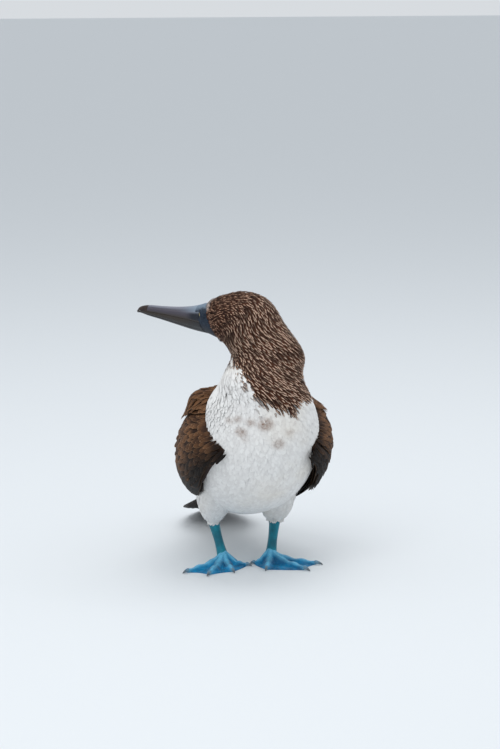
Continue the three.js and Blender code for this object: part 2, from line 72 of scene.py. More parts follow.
# Feather shapes: the corners round a blade, its rings from quill to tip, and how many of the
# first walls are its upper face
SMALL_SHAPE = {
    "cross": ((-1, 0), (0, 1), (1, 0), (0, -0.4)),
    "along": (0, 0.34, 0.64, 0.84, 0.96, 1),
    "top": 2,
}
BROAD_SHAPE = {
    "cross": ((-1, -0.2), (-0.93, 0.5), (-0.5, 0.9), (0, 1.5), (0.5, 0.9), (0.93, 0.5), (1, -0.2),
              (0, -0.9)),
    "along": (0, 0.12, 0.28, 0.46, 0.62, 0.76, 0.87, 0.95, 1),
    "top": 6,
}
LONG_SHAPE = {
    "cross": ((-1, -0.2), (-0.92, 0.4), (-0.6, 0.7), (-0.25, 0.8), (-0.06, 1.1), (0, 1.9), (0.06, 1.1),
              (0.25, 0.8), (0.6, 0.7), (0.92, 0.4), (1, -0.2), (0.4, -0.5), (0, -0.8), (-0.4, -0.5)),
    "along": tuple(np.linspace(0, 1, 19) ** 0.9),
    "top": 10,
}
# How much thinner a blade is at its tip, how far its edges' normals lean outwards, and how much
# of the bake one feather takes
TIP_THINNING = 0.7
NORMAL_LEAN = 0.18
BAKE_PATCH = 0.003

# The body's coats. Length and half width are in quill spacings, stray and roll are spreads, and
# rise is how far the quill, the middle and the tip stand from the loft, each with its spread.
# Every feather is blunt from a share of its length on, and is so thick and cambered in millimetres.
COATS = {
    "streaked": {"length": 4.3, "half": 0.5, "stray": 7, "rise": ((-3.0, 0.2), (-0.9, 0.3), (0.1, 0.5)),
                 "shape": SMALL_SHAPE, "blunt": 0.3, "thick": 0.24, "camber": 0.2, "roll": 0.12,
                 "slot": "streaked_feathers"},
    "white": {"length": 4.8, "half": 1.1, "stray": 8, "rise": ((-1.8, 0.08), (-0.85, 0.1), (-0.45, 0.12)),
              "shape": SMALL_SHAPE, "blunt": 0.4, "thick": 0.14, "camber": 0.1, "roll": 0.06,
              "slot": "white_feathers"},
    "mantle": {"length": 2.9, "half": 0.68, "stray": 6, "rise": ((-3.6, 0.2), (-0.8, 0.3), (0.4, 0.5)),
               "shape": BROAD_SHAPE, "blunt": 0.66, "thick": 0.3, "camber": 0.25, "roll": 0.06,
               "slot": "brown_feathers"},
}
THIGH_FEATHER = {"shape": SMALL_SHAPE, "blunt": 0.5, "thick": 0.2, "camber": 0.12}
SCAPULAR = {"shape": BROAD_SHAPE, "blunt": 0.55, "thick": 0.3, "camber": 0.15}
SMALL_COVERT = {"shape": BROAD_SHAPE, "blunt": 0.6, "thick": 0.3, "camber": 0.2}
WING_VANE = {"shape": LONG_SHAPE, "blunt": 0.8, "thick": 0.4, "camber": 0.06}
TAIL_VANE = {"shape": LONG_SHAPE, "blunt": 0.72, "thick": 0.38, "camber": 0.05}
TAIL_COVERT = {"shape": BROAD_SHAPE, "blunt": 0.75, "thick": 0.38, "camber": 0.05}

# Quill spacings from the rump to the feathers' edge, and how many feathers one piece may have
SPACING_PLACES = (0, 2, 5.5, 6.6, 8, 10, 12, 13.4, 14)
SPACINGS = (3.6, 3.2, 2.8, 2.6, 2.7, 2.6, 2.4, 2.0, 1.6)
BODY_TRIES = 130000
COAT_LIMIT = 4400

# Markings, seen from the camera's side: the streaked bib's lower edge as (right, height), how
# softly it ends as (right, half width), and the smudges as (right, height, size, strength)
BIB = ((-60, 295), (-21, 268), (-11, 253), (1, 234), (22, 217), (48, 212), (64, 219), (100, 240))
BIB_FADE = ((-20, 27), (10, 20), (30, 13), (50, 10))
SMUDGES = ((-20, 200, 5, 0.6), (-11, 202, 5, 0.6), (4, 199, 6, 0.6), (22, 197, 9, 1.0), (-7, 187, 7, 0.75),
           (-3, 178, 4, 0.4), (50, 186, 5, 0.45), (37, 173, 8, 0.6))

# Where the photograph's coat is loose: the breast by the right shoulder, and that shoulder
PUFF = {"place": (-53, -86, 230), "reach": 24, "rise": 5.5}
SHOULDER = {"place": (-66, -42, 213), "reach": 19, "rise": 13}

# The wings' tiers, innermost first: how many feathers, their roots and tips as places on the
# wing's surface from the lower edge to the upper one, half width, depth, slope and kind
WING_TIERS = (
    {"count": 10, "root": ((3.0, -20), (2.7, 14)), "tip": ((5.2, -20), (7.0, 30)), "half": 11,
     "lift": (-18, -11.5), "cross": 0.1, "kind": "flight"},
    {"count": 13, "root": ((2.0, -38), (2.0, 52)), "tip": ((4.1, -44), (5.0, 49)), "half": 12,
     "lift": (-14, -8.2), "cross": 0.14, "kind": "flight"},
    {"count": 15, "root": ((1.1, -37), (1.1, 58)), "tip": ((2.9, -43), (3.35, 55)), "half": 10,
     "lift": (-10, -5), "cross": 0.16, "kind": "covert"},
    {"count": 17, "root": ((0.4, -34), (0.4, 62)), "tip": ((2.1, -42), (2.35, 59)), "half": 8.8,
     "lift": (-8, -2.6), "cross": 0.16, "kind": "covert"},
)
# How many degrees each wing's lower edge is drawn in, and what share of that its flight feathers
# are. Below its middle the wing turns nearly black between two angles: its darker feathers, deepened
# with painted shade by the belly.
LOW_TRIM = {1: 0, -1: 9}
FLIGHT_TRIM = 0.3
LOW_DARK_AND_SHADE = (2, 32)

# The tail's root, its slope and turn in degrees, the angle from feather to feather and how far
# the longest droops, and how far each feather lies below the one before
TAIL = {"x": 3, "y": 146, "z": 64, "slope": 19.5, "yaw": 4, "spread": 3.3, "droop": 8}
TAIL_PAIRS = 6
TAIL_LAYER = 1.1

# How deep the skin lies under the lofts, and the size of its cells in metres
SKIN_DEPTH = -2.8
SKIN_VOXEL = 0.0024

# The thighs' last section, and how much fuller each one's coat is above its hem
THIGH_END = 3.0
THIGH_FULL = {1: 4.5, -1: 1.6}

# Each eye's place from the face's start, and how far the bill's halves stand off their parting
EYE_AHEAD = 6.5
EYE_UP = 3.5
EYE_ASIDE = 10.4
LIP_GAP = 0.17

# The lids' opening: its half angle in the face, and its half sizes
LID_OPENING = 33
LID_OPEN_WIDE = 4.5
LID_OPEN_HIGH = 4.1

# Each toe's direction in degrees from straight ahead, its length and its radius, from the hind one
FEET = {
    "right": ((-52, 32, 4.2), (-3, 46, 4.6), (27, 62, 5), (53, 64, 4.8)),
    "left": ((-64, 26, 4.2), (-19, 46, 4.6), (28, 63, 5), (58, 58, 4.8)),
}
TOE_NAMES = ("hind", "inner", "middle", "outer")
CLAW_LENGTHS = (7, 9, 10, 9)
# The web and how far it is cut in between the toes, how high the instep stands over the ankle,
# and the plates down the shank
WEB_THICKNESS = 1.6
WEB_SCALLOP = 0.09
INSTEP = 4.5
PLATE_HEIGHT = 0.22

# The stage. Each light's name, place in metres, size and power.
FLOOR_SIZE = 40
FLOOR_COLOUR = (222, 226, 229)
SKY_COLOUR = (0.90, 0.94, 0.98, 1)
SKY_STRENGTH = 0.76
LIGHTS = (("key", (-1.1, -1.9, 2.6), 1.6, 30), ("top", (0.4, 0.3, 2.6), 2.0, 22))


def section(x, y, z, turn, pitch, side, up, down):
    """One section of a loft: its middle, its path's turn and climb, and its half sizes."""
    return (x, y, z, turn, pitch, side, up, down)


def head_section(forward, height, pitch, side, up, down):
    """A section in the head's own frame."""
    turn = math.radians(HEAD["turn"])
    x = HEAD["x"] - forward * math.sin(turn)
    y = HEAD["y"] - forward * math.cos(turn)
    return section(x, y, HEAD["z"] + height, HEAD["turn"], pitch, side, up, down)


# The body's path from the rump to the feathers' edge at the bill
BODY = np.array([
    section(3, 146, 64, 0, 19, 21, 10, 11),
    section(3, 118, 75, 0, 20, 37, 23, 25),
    section(3, 82, 90, 0, 22, 54, 37, 41),
    section(3, 36, 109, 0, 25, 67, 49, 57),
    section(3, -14, 132, 0, 28, 72, 56, 65),
    section(3, -56, 158, 0, 37, 72, 60, 64),
    section(1, -83, 190, 6, 58, 68, 56, 56),
    section(-2, -90, 221, 24, 77, 60, 49, 46),
    section(1, -87, 247, 62, 86, 47, 48, 49),
    section(8, -80, 270, 112, 86, 36, 44, 44),
    head_section(-25, -21, 64, 33, 42, 38),
    head_section(-11, -3, 44, 30.5, 40, 40),
    head_section(6, 2.5, 27, 27.5, 35.5, 37),
    head_section(24, 0, 2, 23, 28, 29),
    head_section(38.5, -5, -28, 17.5, 24, 25.5),
], float)
CHEST_TOP = 6.4
FEATHER_EDGE = len(BODY) - 1
BODY_SIDES = 28

WING = np.array([
    section(3, -97, 184, 0, 36, 64, 66, 64),
    section(3, -62, 170, 0, 32, 89, 76, 76),
    section(3, -16, 145, 0, 28, 95, 73, 82),
    section(3, 38, 118, 0, 25, 88, 64, 70),
    section(4, 96, 94, 0, 22, 70, 48, 46),
    section(6, 154, 76, 0, 18, 50, 32, 24),
    section(9, 208, 62, 0, 15, 35, 21, 12),
    section(12, 254, 51, 0, 13, 25, 14, 7),
], float)

FACE_START = 38.5
GAPE_DROP = -7
BILL_START = 52
BILL_TIP = BILL_START + BILL_LENGTH
FACE = np.array([
    head_section(FACE_START - 6, -4, -24, 16.6, 23, 24.5),
    head_section(FACE_START, -5, -28, 16.4, 22.8, 24.2),
    head_section(FACE_START + 7, -4, -21, 15.6, 20.2, 20.8),
    head_section(BILL_START, -4, -15, 14.5, 18, 17.5),
    head_section(BILL_START + 6, -4, -12, 13.2, 16.5, 15.5),
], float)
BILL = np.array([
    head_section(BILL_START, GAPE_DROP, -14, 14.4, 20.8, 14.5),
    head_section(BILL_START + 18, GAPE_DROP + 1.2, -6, 11.8, 15.5, 13.5),
    head_section(BILL_START + 42, GAPE_DROP + 2.6, -1, 9.2, 11, 11),
    head_section(BILL_START + 68, GAPE_DROP + 3.8, 0, 6.9, 8.4, 8),
    head_section(BILL_TIP - NAIL_LENGTH, GAPE_DROP + 4.4, 0, 5.2, 7.2, 5.6),
    head_section(BILL_TIP - 6, GAPE_DROP + 4.2, -4, 3.2, 4.6, 3),
    head_section(BILL_TIP, GAPE_DROP + 2.6, -10, 1.1, 1.2, 1.4),
], float)
NAIL_START = 4
BILL_END = len(BILL) - 1


def thigh(side):
    """A thigh's sections from the hip to the hem above the heel."""
    return np.array([
        section(side * 35, -6, 114, 0, -90, 27, 34, 34),
        section(side * 38, 2, 90, 0, -90, 25.5, 32, 31),
        section(side * 39, 9, 69, 0, -90, 19.5, 22, 21),
        section(side * HEEL_HALF_SPREAD, HEEL_BACK - 1, HEEL_HEIGHT - 3, 0, -90, 8.2, 9.4, 9),
    ], float)


def shank(side):
    """A shank's sections from just above the heel to the ankle."""
    def at(k, half, deep):
        x = side * (HEEL_HALF_SPREAD + (TARSUS_HALF_SPREAD - HEEL_HALF_SPREAD) * k)
        z = HEEL_HEIGHT - 3 + (ANKLE_HEIGHT - HEEL_HEIGHT + 3) * k
        return section(x, HEEL_BACK * (1 - k), z, 0, -90, half, deep, deep)
    return np.array([at(-0.12, 7, 8.8), at(0, 6.6, 8.4), at(0.2, 5.6, 7), at(0.55, 4.9, 5.8),
                     at(0.85, 5.6, 6.2), at(1.02, 7, 7.6)], float)


def stations_at(stations, t):
    """Sections between the stations, by Catmull-Rom through each of their values."""
    t = np.asarray(t, float)
    last = len(stations) - 1
    i = np.clip(np.floor(t).astype(int), 0, last - 1)
    k = (t - i)[..., None]
    before = stations[np.maximum(i - 1, 0)]
    start = stations[i]
    end = stations[i + 1]
    after = stations[np.minimum(i + 2, last)]
    slope = (end - before) * k
    bend = (2 * before - 5 * start + 4 * end - after) * k ** 2
    twist = (3 * start - before - 3 * end + after) * k ** 3
    return start + 0.5 * (slope + bend + twist)


def loft_points(stations, t, angle, grow=0.0):
    """Points on a loft: angle 0 is the bird's left, 90 degrees its back or crown."""
    t, angle, grow = np.broadcast_arrays(np.asarray(t, float), angle, grow)
    found = stations_at(stations, t)
    turn = np.radians(found[..., 3])
    pitch = np.radians(found[..., 4])
    a = np.radians(angle)
    zero = np.zeros_like(turn)
    left = np.stack([np.cos(turn), -np.sin(turn), zero], -1)
    up = np.stack([np.sin(turn) * np.sin(pitch), np.cos(turn) * np.sin(pitch), np.cos(pitch)], -1)
    half = np.where(np.sin(a) >= 0, found[..., 6], found[..., 7])
    wide = ((found[..., 5] + grow) * np.cos(a))[..., None]
    high = ((half + grow) * np.sin(a))[..., None]
    return found[..., :3] + left * wide + up * high


def unit(v):
    """Vectors in the same directions, of length 1."""
    return v / np.maximum(np.linalg.norm(v, axis=-1, keepdims=True), 1e-9)


def loft_slopes(stations, t, angle, grow=0.0):
    """How far a point moves for each unit of t and each degree, and the outward normal."""
    def at(dt, turn):
        return loft_points(stations, t + dt, angle + turn, grow)

    step = 0.02
    along = (at(step, 0) - at(-step, 0)) / (2 * step)
    around = at(0, 0.5) - at(0, -0.5)
    outward = -1 if stations is WING else 1
    return along, around, outward * unit(np.cross(around, along))


def paces(stations, t, angle):
    """How many millimetres one unit of t is, and one degree."""
    along, around, _ = loft_slopes(stations, t, angle)
    return np.linalg.norm(along, axis=-1), np.linalg.norm(around, axis=-1)


def frame_offset():
    """From the part's own millimetres to the frame's: where the torso is, less where it was drawn."""
    t = np.linspace(0, CHEST_TOP, 16)[:, None]
    rings = loft_points(BODY, t, np.arange(BODY_SIDES) * 360 / BODY_SIDES)
    return np.array(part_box("torso")[0]) * 1000 - rings.reshape(-1, 3).min(axis=0)


OFFSET = frame_offset()


def metres(points):
    """The frame's metres from the part's own millimetres."""
    return (np.asarray(points, float) + OFFSET) / 1000


def volume(mesh):
    """The volume inside a mesh, below 0 where its faces look in."""
    mesh.calc_loop_triangles()
    corners = np.zeros(len(mesh.loop_triangles) * 3, int)
    mesh.loop_triangles.foreach_get("vertices", corners)
    places = np.zeros(len(mesh.vertices) * 3)
    mesh.vertices.foreach_get("co", places)
    a, b, c = places.reshape(-1, 3)[corners].reshape(-1, 3, 3).transpose(1, 0, 2)
    return float((a * np.cross(b, c)).sum()) / 6


def add_piece(name, points, faces, material, replaced=(), values=None, bake=None, normals=None):
    """A mesh in the frame, from millimetres, riding on the bird, with per-point values and a bake map."""
    mesh = bpy.data.meshes.new(name)
    mesh.from_pydata(metres(points).tolist(), [], [[int(i) for i in face] for face in faces])
    if volume(mesh) < 0:
        mesh.flip_normals()
    mesh.update()
    mesh.shade_smooth()
    if normals is not None:
        mesh.normals_split_custom_set_from_vertices(unit(normals).tolist())
    for key, array in (values or {}).items():
        data = mesh.attributes.new(key, "FLOAT", "POINT").data
        data.foreach_set("value", np.asarray(array, np.float32))
    if bake is not None:
        corners = np.zeros(len(mesh.loops), int)
        mesh.loops.foreach_get("vertex_index", corners)
        layer = mesh.uv_layers.new(name="OFBake")
        layer.data.foreach_set("uv", np.asarray(bake, np.float32)[corners].ravel())
    mesh.materials.append(material)
    obj = bpy.data.objects.new(name, mesh)
    bpy.context.collection.objects.link(obj)
    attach(obj, "root")
    if replaced:
        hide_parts(*replaced)
    return obj


def add_feathers(name, batch, material, replaced=(), soft=False):
    """A piece of many feathers, which takes the light as one surface where it is soft."""
    points, faces, values, bake = batch
    facing = values.pop("facing")
    add_piece(name, points, faces, material, replaced, values, bake, facing if soft else None)


def tube_faces(rings, sides):
    """Quads round a tube of rings, and one face over each end."""
    r = np.arange(rings - 1)[:, None] * sides
    j = np.arange(sides)[None, :]
    after = (j + 1) % sides
    walls = np.stack([r + j, r + after, r + sides + after, r + sides + j], -1).reshape(-1, 4).tolist()
    walls.append(list(range(sides - 1, -1, -1)))
    walls.append([(rings - 1) * sides + k for k in range(sides)])
    return walls


def blade_faces(rings, sides, top):
    """Triangles round a thin blade. Those above and below share their diagonals, so they never cross."""
    r = np.arange(rings - 1)[:, None] * sides
    j = np.arange(sides)[None, :]
    a, b = r + j, r + (j + 1) % sides
    c, d = b + sides, a + sides
    over = np.broadcast_to(j < top, a.shape)[..., None]
    first = np.where(over, np.stack([a, b, c], -1), np.stack([a, b, d], -1))
    second = np.where(over, np.stack([a, c, d], -1), np.stack([b, c, d], -1))
    return np.concatenate([first.reshape(-1, 3), second.reshape(-1, 3)])


def outline(along, blunt):
    """A feather's half width from quill to tip, as a share: a blunt one is widest near its tip."""
    base = 0.35 + 0.65 * np.minimum(1, along / 0.4) ** 0.7
    tip = np.clip((1 - along) / (1 - blunt), 0, 1)
    return base * np.where(along > blunt, np.sqrt(np.clip(1 - (1 - tip) ** 2, 0, 1)) * 0.97 + 0.03, 1)


def feather_arrays(style, middles, normals, half, roll, rand, tone, root, uneven=0.0):
    """Points, faces, values and bake places of many feathers, thin closed blades on their middle lines."""
    along = np.array(style["shape"]["along"], float)
    cross = np.array(style["shape"]["cross"], float)
    count, rings = middles.shape[:2]
    sides = len(cross)
    grid = (count, rings, sides)
    down = np.broadcast_to(along[None, :, None], grid)
    aside = np.broadcast_to(cross[None, None, :, 0], grid)
    ahead = unit(np.gradient(middles, axis=1))
    across = unit(np.cross(normals, ahead))
    out = unit(np.cross(ahead, across))
    width = half[:, None] * outline(along, style["blunt"])[None, :]
    width = width * (1 + uneven * RANDOM.uniform(-1, 1, width.shape))
    wide = width[:, :, None] * aside
    sag = -style["camber"] * np.abs(wide) ** 2 / np.maximum(half[:, None, None], 0.1)
    lift = style["thick"] * cross[:, 1] * (1 - TIP_THINNING * down) + sag
    lift = lift + roll[:, None, None] * wide
    points = middles[:, :, None] + across[:, :, None] * wide[..., None] + out[:, :, None] * lift[..., None]
    first = np.arange(count)[:, None] * rings * sides
    walls = blade_faces(rings, sides, style["shape"]["top"])
    faces = (walls[None] + first[..., None]).reshape(-1, 3).tolist()
    for cap in (np.arange(sides)[::-1], np.arange(sides) + (rings - 1) * sides):
        faces += (cap[None] + first).tolist()
    lean = across[:, :, None] * (NORMAL_LEAN * aside[..., None])
    values = {
        "facing": ((normals[:, :, None] + out[:, :, None]) * 0.5 + lean).reshape(-1, 3),
        "along": down.ravel(),
        "across": aside.ravel(),
        "rand": np.broadcast_to(rand[:, None, None], grid).ravel(),
        "tone": np.broadcast_to(tone[:, None, None], grid).ravel(),
    }
    u = root[:, 0, None, None] + (down - 0.5) * BAKE_PATCH
    v = root[:, 1, None, None] + aside * 0.5 * BAKE_PATCH
    return points.reshape(-1, 3), faces, values, np.stack([u, v], -1).reshape(-1, 2)


def each_point(batch, values):
    """One value for each feather of a batch, as one for each of its points."""
    return np.repeat(values, len(batch[0]) // len(values))


def join_meshes(meshes):
    """Several meshes' points and faces as one's."""
    points, faces, start = [], [], 0
    for p, f in meshes:
        points.append(p)
        faces += [[i + start for i in face] for face in f]
        start += len(p)
    return np.concatenate(points), faces


def join_arrays(batches):
    """Several batches of feathers as one."""
    points, faces = join_meshes([batch[:2] for batch in batches])
    values = {key: np.concatenate([batch[2][key] for batch in batches]) for key in batches[0][2]}
    return points, faces, values, np.concatenate([batch[3] for batch in batches])


def scatter(stations, t_range, angle_range, spacing, tries):
    """Places on a loft that keep their spacing from each other, drawn at random."""
    t = RANDOM.uniform(*t_range, tries)
    angle = RANDOM.uniform(*angle_range, tries)
    points = loft_points(stations, t, angle)
    apart = spacing(t, angle)
    cells = np.floor(points / apart.max()).astype(int).tolist()
    around = [(a, b, c) for a in (-1, 0, 1) for b in (-1, 0, 1) for c in (-1, 0, 1)]
    found = {}
    kept = []
    for n, (p, (i, j, k)) in enumerate(zip(points.tolist(), cells)):
        others = (q for a, b, c in around for q in found.get((i + a, j + b, k + c), ()))
        if any(math.dist(p, q) < apart[n] for q in others):
            continue
        found.setdefault((i, j, k), []).append(p)
        kept.append(n)
    return t[kept], angle[kept], apart[kept]


def lay_feathers(t, angle, length, heading, rise, along):
    """Middle lines of body feathers that run from t towards the rump, turned by heading degrees.
    Rise gives how far the quill, the middle and the tip stand from the loft."""
    slope, around, _ = loft_slopes(BODY, t, angle)
    pace = np.linalg.norm(slope, axis=-1)
    turn = np.radians(heading)
    dt = -length * np.cos(turn) / np.maximum(pace, 1)
    da = length * np.sin(turn) / np.maximum(np.linalg.norm(around, axis=-1), 0.05)
    full = t[:, None] + dt[:, None] * along
    tt = np.clip(full, 0, FEATHER_EDGE)
    aa = angle[:, None] + np.clip(da, -60, 60)[:, None] * along
    half_way = np.interp(along, (0, 0.5, 1), (0, 1, 2))
    grow = rise[0][:, None] + (rise[1] - rise[0])[:, None] * np.minimum(half_way, 1)
    grow = grow + (rise[2] - rise[1])[:, None] * np.maximum(half_way - 1, 0)
    middles = loft_points(BODY, tt, aa, grow)
    normals = loft_slopes(BODY, tt, aa, grow)[2]
    ahead = unit(slope)[:, None] * pace[:, None, None]
    return middles + ahead * (full - tt)[..., None], normals


# Materials
def colour(rgb):
    """Linear colour from the usual 0 to 255 values."""
    linear = [((c / 255 + 0.055) / 1.055) ** 2.4 if c > 10 else c / 255 / 12.92 for c in rgb]
    return (*linear, 1.0)


class Painter:
    """Small helpers that add and wire the nodes of one material."""

    def __init__(self, name):
        self.material = bpy.data.materials.new(name)
        self.material.use_nodes = True
        self.nodes = self.material.node_tree.nodes
        self.links = self.material.node_tree.links
        self.shader = self.nodes["Principled BSDF"]

    def put(self, value, socket):
        """Wires a socket or sets its value. Three numbers are a colour, from 0 to 255."""
        if isinstance(value, bpy.types.NodeSocket):
            self.links.new(value, socket)
        else:
            socket.default_value = colour(value) if isinstance(value, tuple) else value

    def add(self, kind, **inputs):
        """A node of this kind with these inputs."""
        node = self.nodes.new("ShaderNode" + kind)
        for key, value in inputs.items():
            self.put(value, node.inputs[key.replace("_", " ")])
        return node

    def attribute(self, name):
        node = self.add("Attribute")
        node.attribute_name = name
        return node.outputs["Fac"]

    def feather(self):
        """The place along and across a feather, and its own two random values."""
        return [self.attribute(key) for key in ("along", "across", "rand", "tone")]

    def place(self):
        return self.add("TexCoord").outputs["Object"]

    def math(self, how, a, b=0.0):
        node = self.add("Math")
        node.operation = how
        self.put(a, node.inputs[0])
        self.put(b, node.inputs[1])
        return node.outputs[0]

    def times(self, a, b):
        return self.math("MULTIPLY", a, b)

    def size(self, value):
        return self.math("ABSOLUTE", value)

    def wander(self, value, noise, amount):
        """A value that strays with a noise, so that the bands it makes aren't straight."""
        return self.math("ADD", value, self.times(self.math("SUBTRACT", noise, 0.5), amount))

    def ramp(self, value, low, high, to_low=0.0, to_high=1.0):
        """Smoothly from one value to another between two limits."""
        node = self.add("MapRange", Value=value, From_Min=low, From_Max=high, To_Min=to_low, To_Max=to_high)
        node.interpolation_type = "SMOOTHSTEP"
        return node.outputs["Result"]

    def mix(self, share, a, b):
        node = self.add("Mix")
        node.data_type = "RGBA"
        for value, number in ((share, 0), (a, 6), (b, 7)):
            self.put(value, node.inputs[number])
        return node.outputs[2]

    def noise(self, scale, detail=3.0, stretch=None, vector=None, distortion=0.0):
        source = vector or self.place()
        if stretch:
            mapping = self.add("Mapping", Vector=source)
            mapping.inputs["Scale"].default_value = stretch
            source = mapping.outputs["Vector"]
        node = self.add("TexNoise", Scale=scale, Detail=detail, Distortion=distortion, Vector=source)
        return node.outputs["Fac"]

    def cells(self, scale):
        """How far it is to the edge of the nearest cell."""
        node = self.add("TexVoronoi", Scale=scale, Vector=self.place())
        node.feature = "DISTANCE_TO_EDGE"
        return node.outputs["Distance"]

    def combine(self, x, y):
        return self.add("CombineXYZ", X=x, Y=y).outputs[0]

    def bump(self, height, strength, distance=0.0006, **under):
        """A normal from a height, over another normal where one is given."""
        node = self.add("Bump", Strength=strength, Distance=distance, Height=height, **under)
        return node.outputs["Normal"]

    def finish(self, base, roughness, **inputs):
        """The material with its colour, its roughness and the shader's other inputs."""
        inputs = {"Base_Color": base, "Roughness": roughness, **inputs}
        for key, value in inputs.items():
            self.put(value, self.shader.inputs[key.replace("_", " ")])
        return self.material


def barbs(p, along, across, fine, strength):
    """The herringbone of a feather's barbs and its raised shaft, as bump."""
    slant = p.math("SUBTRACT", along, p.times(p.size(across), 0.12))
    line = p.math("SINE", p.times(slant, fine))
    shaft = p.ramp(p.size(across), 0.0, 0.07, 1.0, 0.0)
    return p.bump(p.math("ADD", p.times(line, 0.35), shaft), strength, 0.0004)


def streaked_feathers():
    """Head and neck: dark brown feathers with a pale streak down their middles, white where tone is 0."""
    p = Painter("streaked_feathers")
    along, across, rand, tone = p.feather()
    start = p.math("ADD", 0.30, p.times(rand, 0.25))
    tip = p.times(p.ramp(along, start, 0.8), p.ramp(p.size(across), 0.12, 0.6, 1.0, 0.0))
    dark = p.mix(rand, (40, 22, 16), (82, 50, 36))
    pale = p.mix(p.attribute("grey"), (230, 198, 174), (204, 162, 136))
    streak = p.mix(p.times(tip, p.ramp(rand, 0.1, 0.65, 0.2, 1.0)), dark, pale)
    white = p.mix(rand, (222, 219, 216), (238, 236, 234))
    return p.finish(p.mix(tone, white, streak), 0.8, Sheen_Weight=0.02, Specular_IOR_Level=0.12)


def white_feathers():
    """Breast, belly and thighs: soft white, a little cream where the bird is worn."""
    p = Painter("white_feathers")
    white = p.mix(p.attribute("rand"), (220, 218, 216), (236, 235, 233))
    cream = p.mix(p.ramp(p.noise(14.0), 0.45, 0.75, 0.0, 0.35), white, (224, 214, 198))
    smudge = p.times(p.attribute("tone"), p.ramp(p.noise(420.0), 0.3, 0.7, 0.6, 1.1))
    return p.finish(p.mix(smudge, cream, (124, 90, 68)), 0.85, Sheen_Weight=0.15, Specular_IOR_Level=0.15)


def brown_feathers():
    """Wing coverts, scapulars and mantle: brown with a paler, warmer rim; nearly black low on the wing,
    with painted shade.
    """
    p = Painter("brown_feathers")
    along, across, rand, tone = p.feather()
    low = p.attribute("dark")
    edge = p.math("MAXIMUM", p.ramp(p.size(across), 0.78, 1.0), p.ramp(along, 0.9, 0.995))
    dark = p.mix(rand, (54, 34, 22), (104, 70, 44))
    worn = p.mix(p.ramp(p.noise(45.0, 4.0), 0.35, 0.7), dark, (118, 82, 54))
    inner = p.mix(p.ramp(along, 0.3, 0.9), (44, 28, 20), worn)
    # Low on the wing by the belly: darker feathers and painted shade, nearly black, with the pale rims
    # faded
    inner = p.mix(low, inner, (14, 9, 7))
    rim = p.times(p.times(edge, tone), p.ramp(low, 0.0, 1.0, 1.0, 0.2))
    base = p.mix(rim, inner, (160, 122, 90))
    normal = barbs(p, along, across, 120.0, 0.35)
    return p.finish(base, 0.62, Normal=normal, Sheen_Weight=0.0, Specular_IOR_Level=0.15)


def flight_feathers():
    """Primaries, secondaries and tail feathers: blackish brown with faint worn edges."""
    p = Painter("flight_feathers")
    along, across, rand, tone = p.feather()
    dark = p.mix(rand, (18, 13, 11), (38, 27, 22))
    edge = p.times(p.ramp(p.size(across), 0.82, 1.0), p.times(tone, 0.7))
    base = p.mix(edge, dark, (112, 90, 72))
    shaft = p.ramp(p.size(across), 0.0, 0.05, 1.0, 0.0)
    base = p.mix(p.times(shaft, 0.5), base, (96, 74, 58))
    return p.finish(base, 0.5, Normal=barbs(p, along, across, 260.0, 0.4), Specular_IOR_Level=0.2)


def skin_material():
    """The skin under the coat, with the coat's own markings."""
    p = Painter("coat_skin")
    base = p.mix(p.attribute("tone"), (226, 223, 219), (64, 42, 30))
    return p.finish(base, 0.9, Normal=p.bump(p.noise(300.0, 4.0), 0.3))


def face_skin():
    """Finely wrinkled bare skin: pale blue-grey at the forehead, navy by the eye, slate at the throat."""
    p = Painter("face_skin")
    wrinkle = p.noise(420.0, 5.0, stretch=(1, 1, 2.2), distortion=0.6)
    wander = p.wander(p.attribute("high"), wrinkle, 0.3)
    lower = p.mix(p.ramp(wander, -0.7, -0.1), (40, 41, 46), (24, 34, 48))
    upper = p.mix(p.ramp(wander, 0.5, 0.9), lower, (112, 128, 144))
    base = p.mix(p.ramp(wrinkle, 0.3, 0.75, 0.0, 0.25), upper, (84, 98, 114))
    normal = p.bump(wrinkle, 0.5, 0.0005, Normal=p.bump(p.cells(900.0), 0.25, 0.0003))
    return p.finish(base, 0.6, Normal=normal, Specular_IOR_Level=0.2)


def bill_horn():
    """Slate-blue horn: pale on the culmen's base, mauve and olive bands, a painted highlight on top, dark
    along the edges.
    """
    p = Painter("bill_horn")
    far, high = p.attribute("far"), p.attribute("high")
    grain = p.noise(60.0, 5.0, vector=p.combine(p.times(far, 0.6), p.times(high, 1.6)))
    streaks = p.noise(140.0, vector=p.combine(p.times(far, 0.12), high))
    wander = p.wander(high, grain, 0.35)
    side = p.mix(p.ramp(wander, -0.05, 0.42), (58, 51, 45), (70, 66, 76))
    # Painted highlight: the pale band along the top of the bill
    crest = p.mix(p.ramp(wander, 0.6, 0.97), side, (122, 124, 136))
    pale = p.times(p.ramp(far, 0.02, 0.34, 1.0, 0.0), p.ramp(wander, 0.35, 0.8))
    lit = p.mix(pale, crest, (128, 144, 160))
    band = p.ramp(p.size(p.math("SUBTRACT", wander, 0.28)), 0.12, 0.3, 1.0, 0.0)
    navy = p.mix(p.times(p.ramp(far, 0.10, 0.22, 1.0, 0.0), band), lit, (16, 24, 36))
    lower = p.mix(p.ramp(wander, -0.8, -0.1), (28, 26, 28), (52, 44, 37))
    lower = p.mix(p.ramp(far, 0.0, 0.3, 0.8, 0.0), lower, (28, 33, 40))
    base = p.mix(p.ramp(high, -0.06, 0.02), lower, navy)
    base = p.mix(p.times(p.ramp(streaks, 0.5, 0.7), 0.25), base, (58, 54, 56))
    normal = p.bump(streaks, 0.3, 0.0004, Normal=p.bump(grain, 0.25, 0.0005))
    gloss = p.ramp(grain, 0.3, 0.7, 0.38, 0.52)
    return p.finish(base, gloss, Normal=normal, Specular_IOR_Level=0.3)


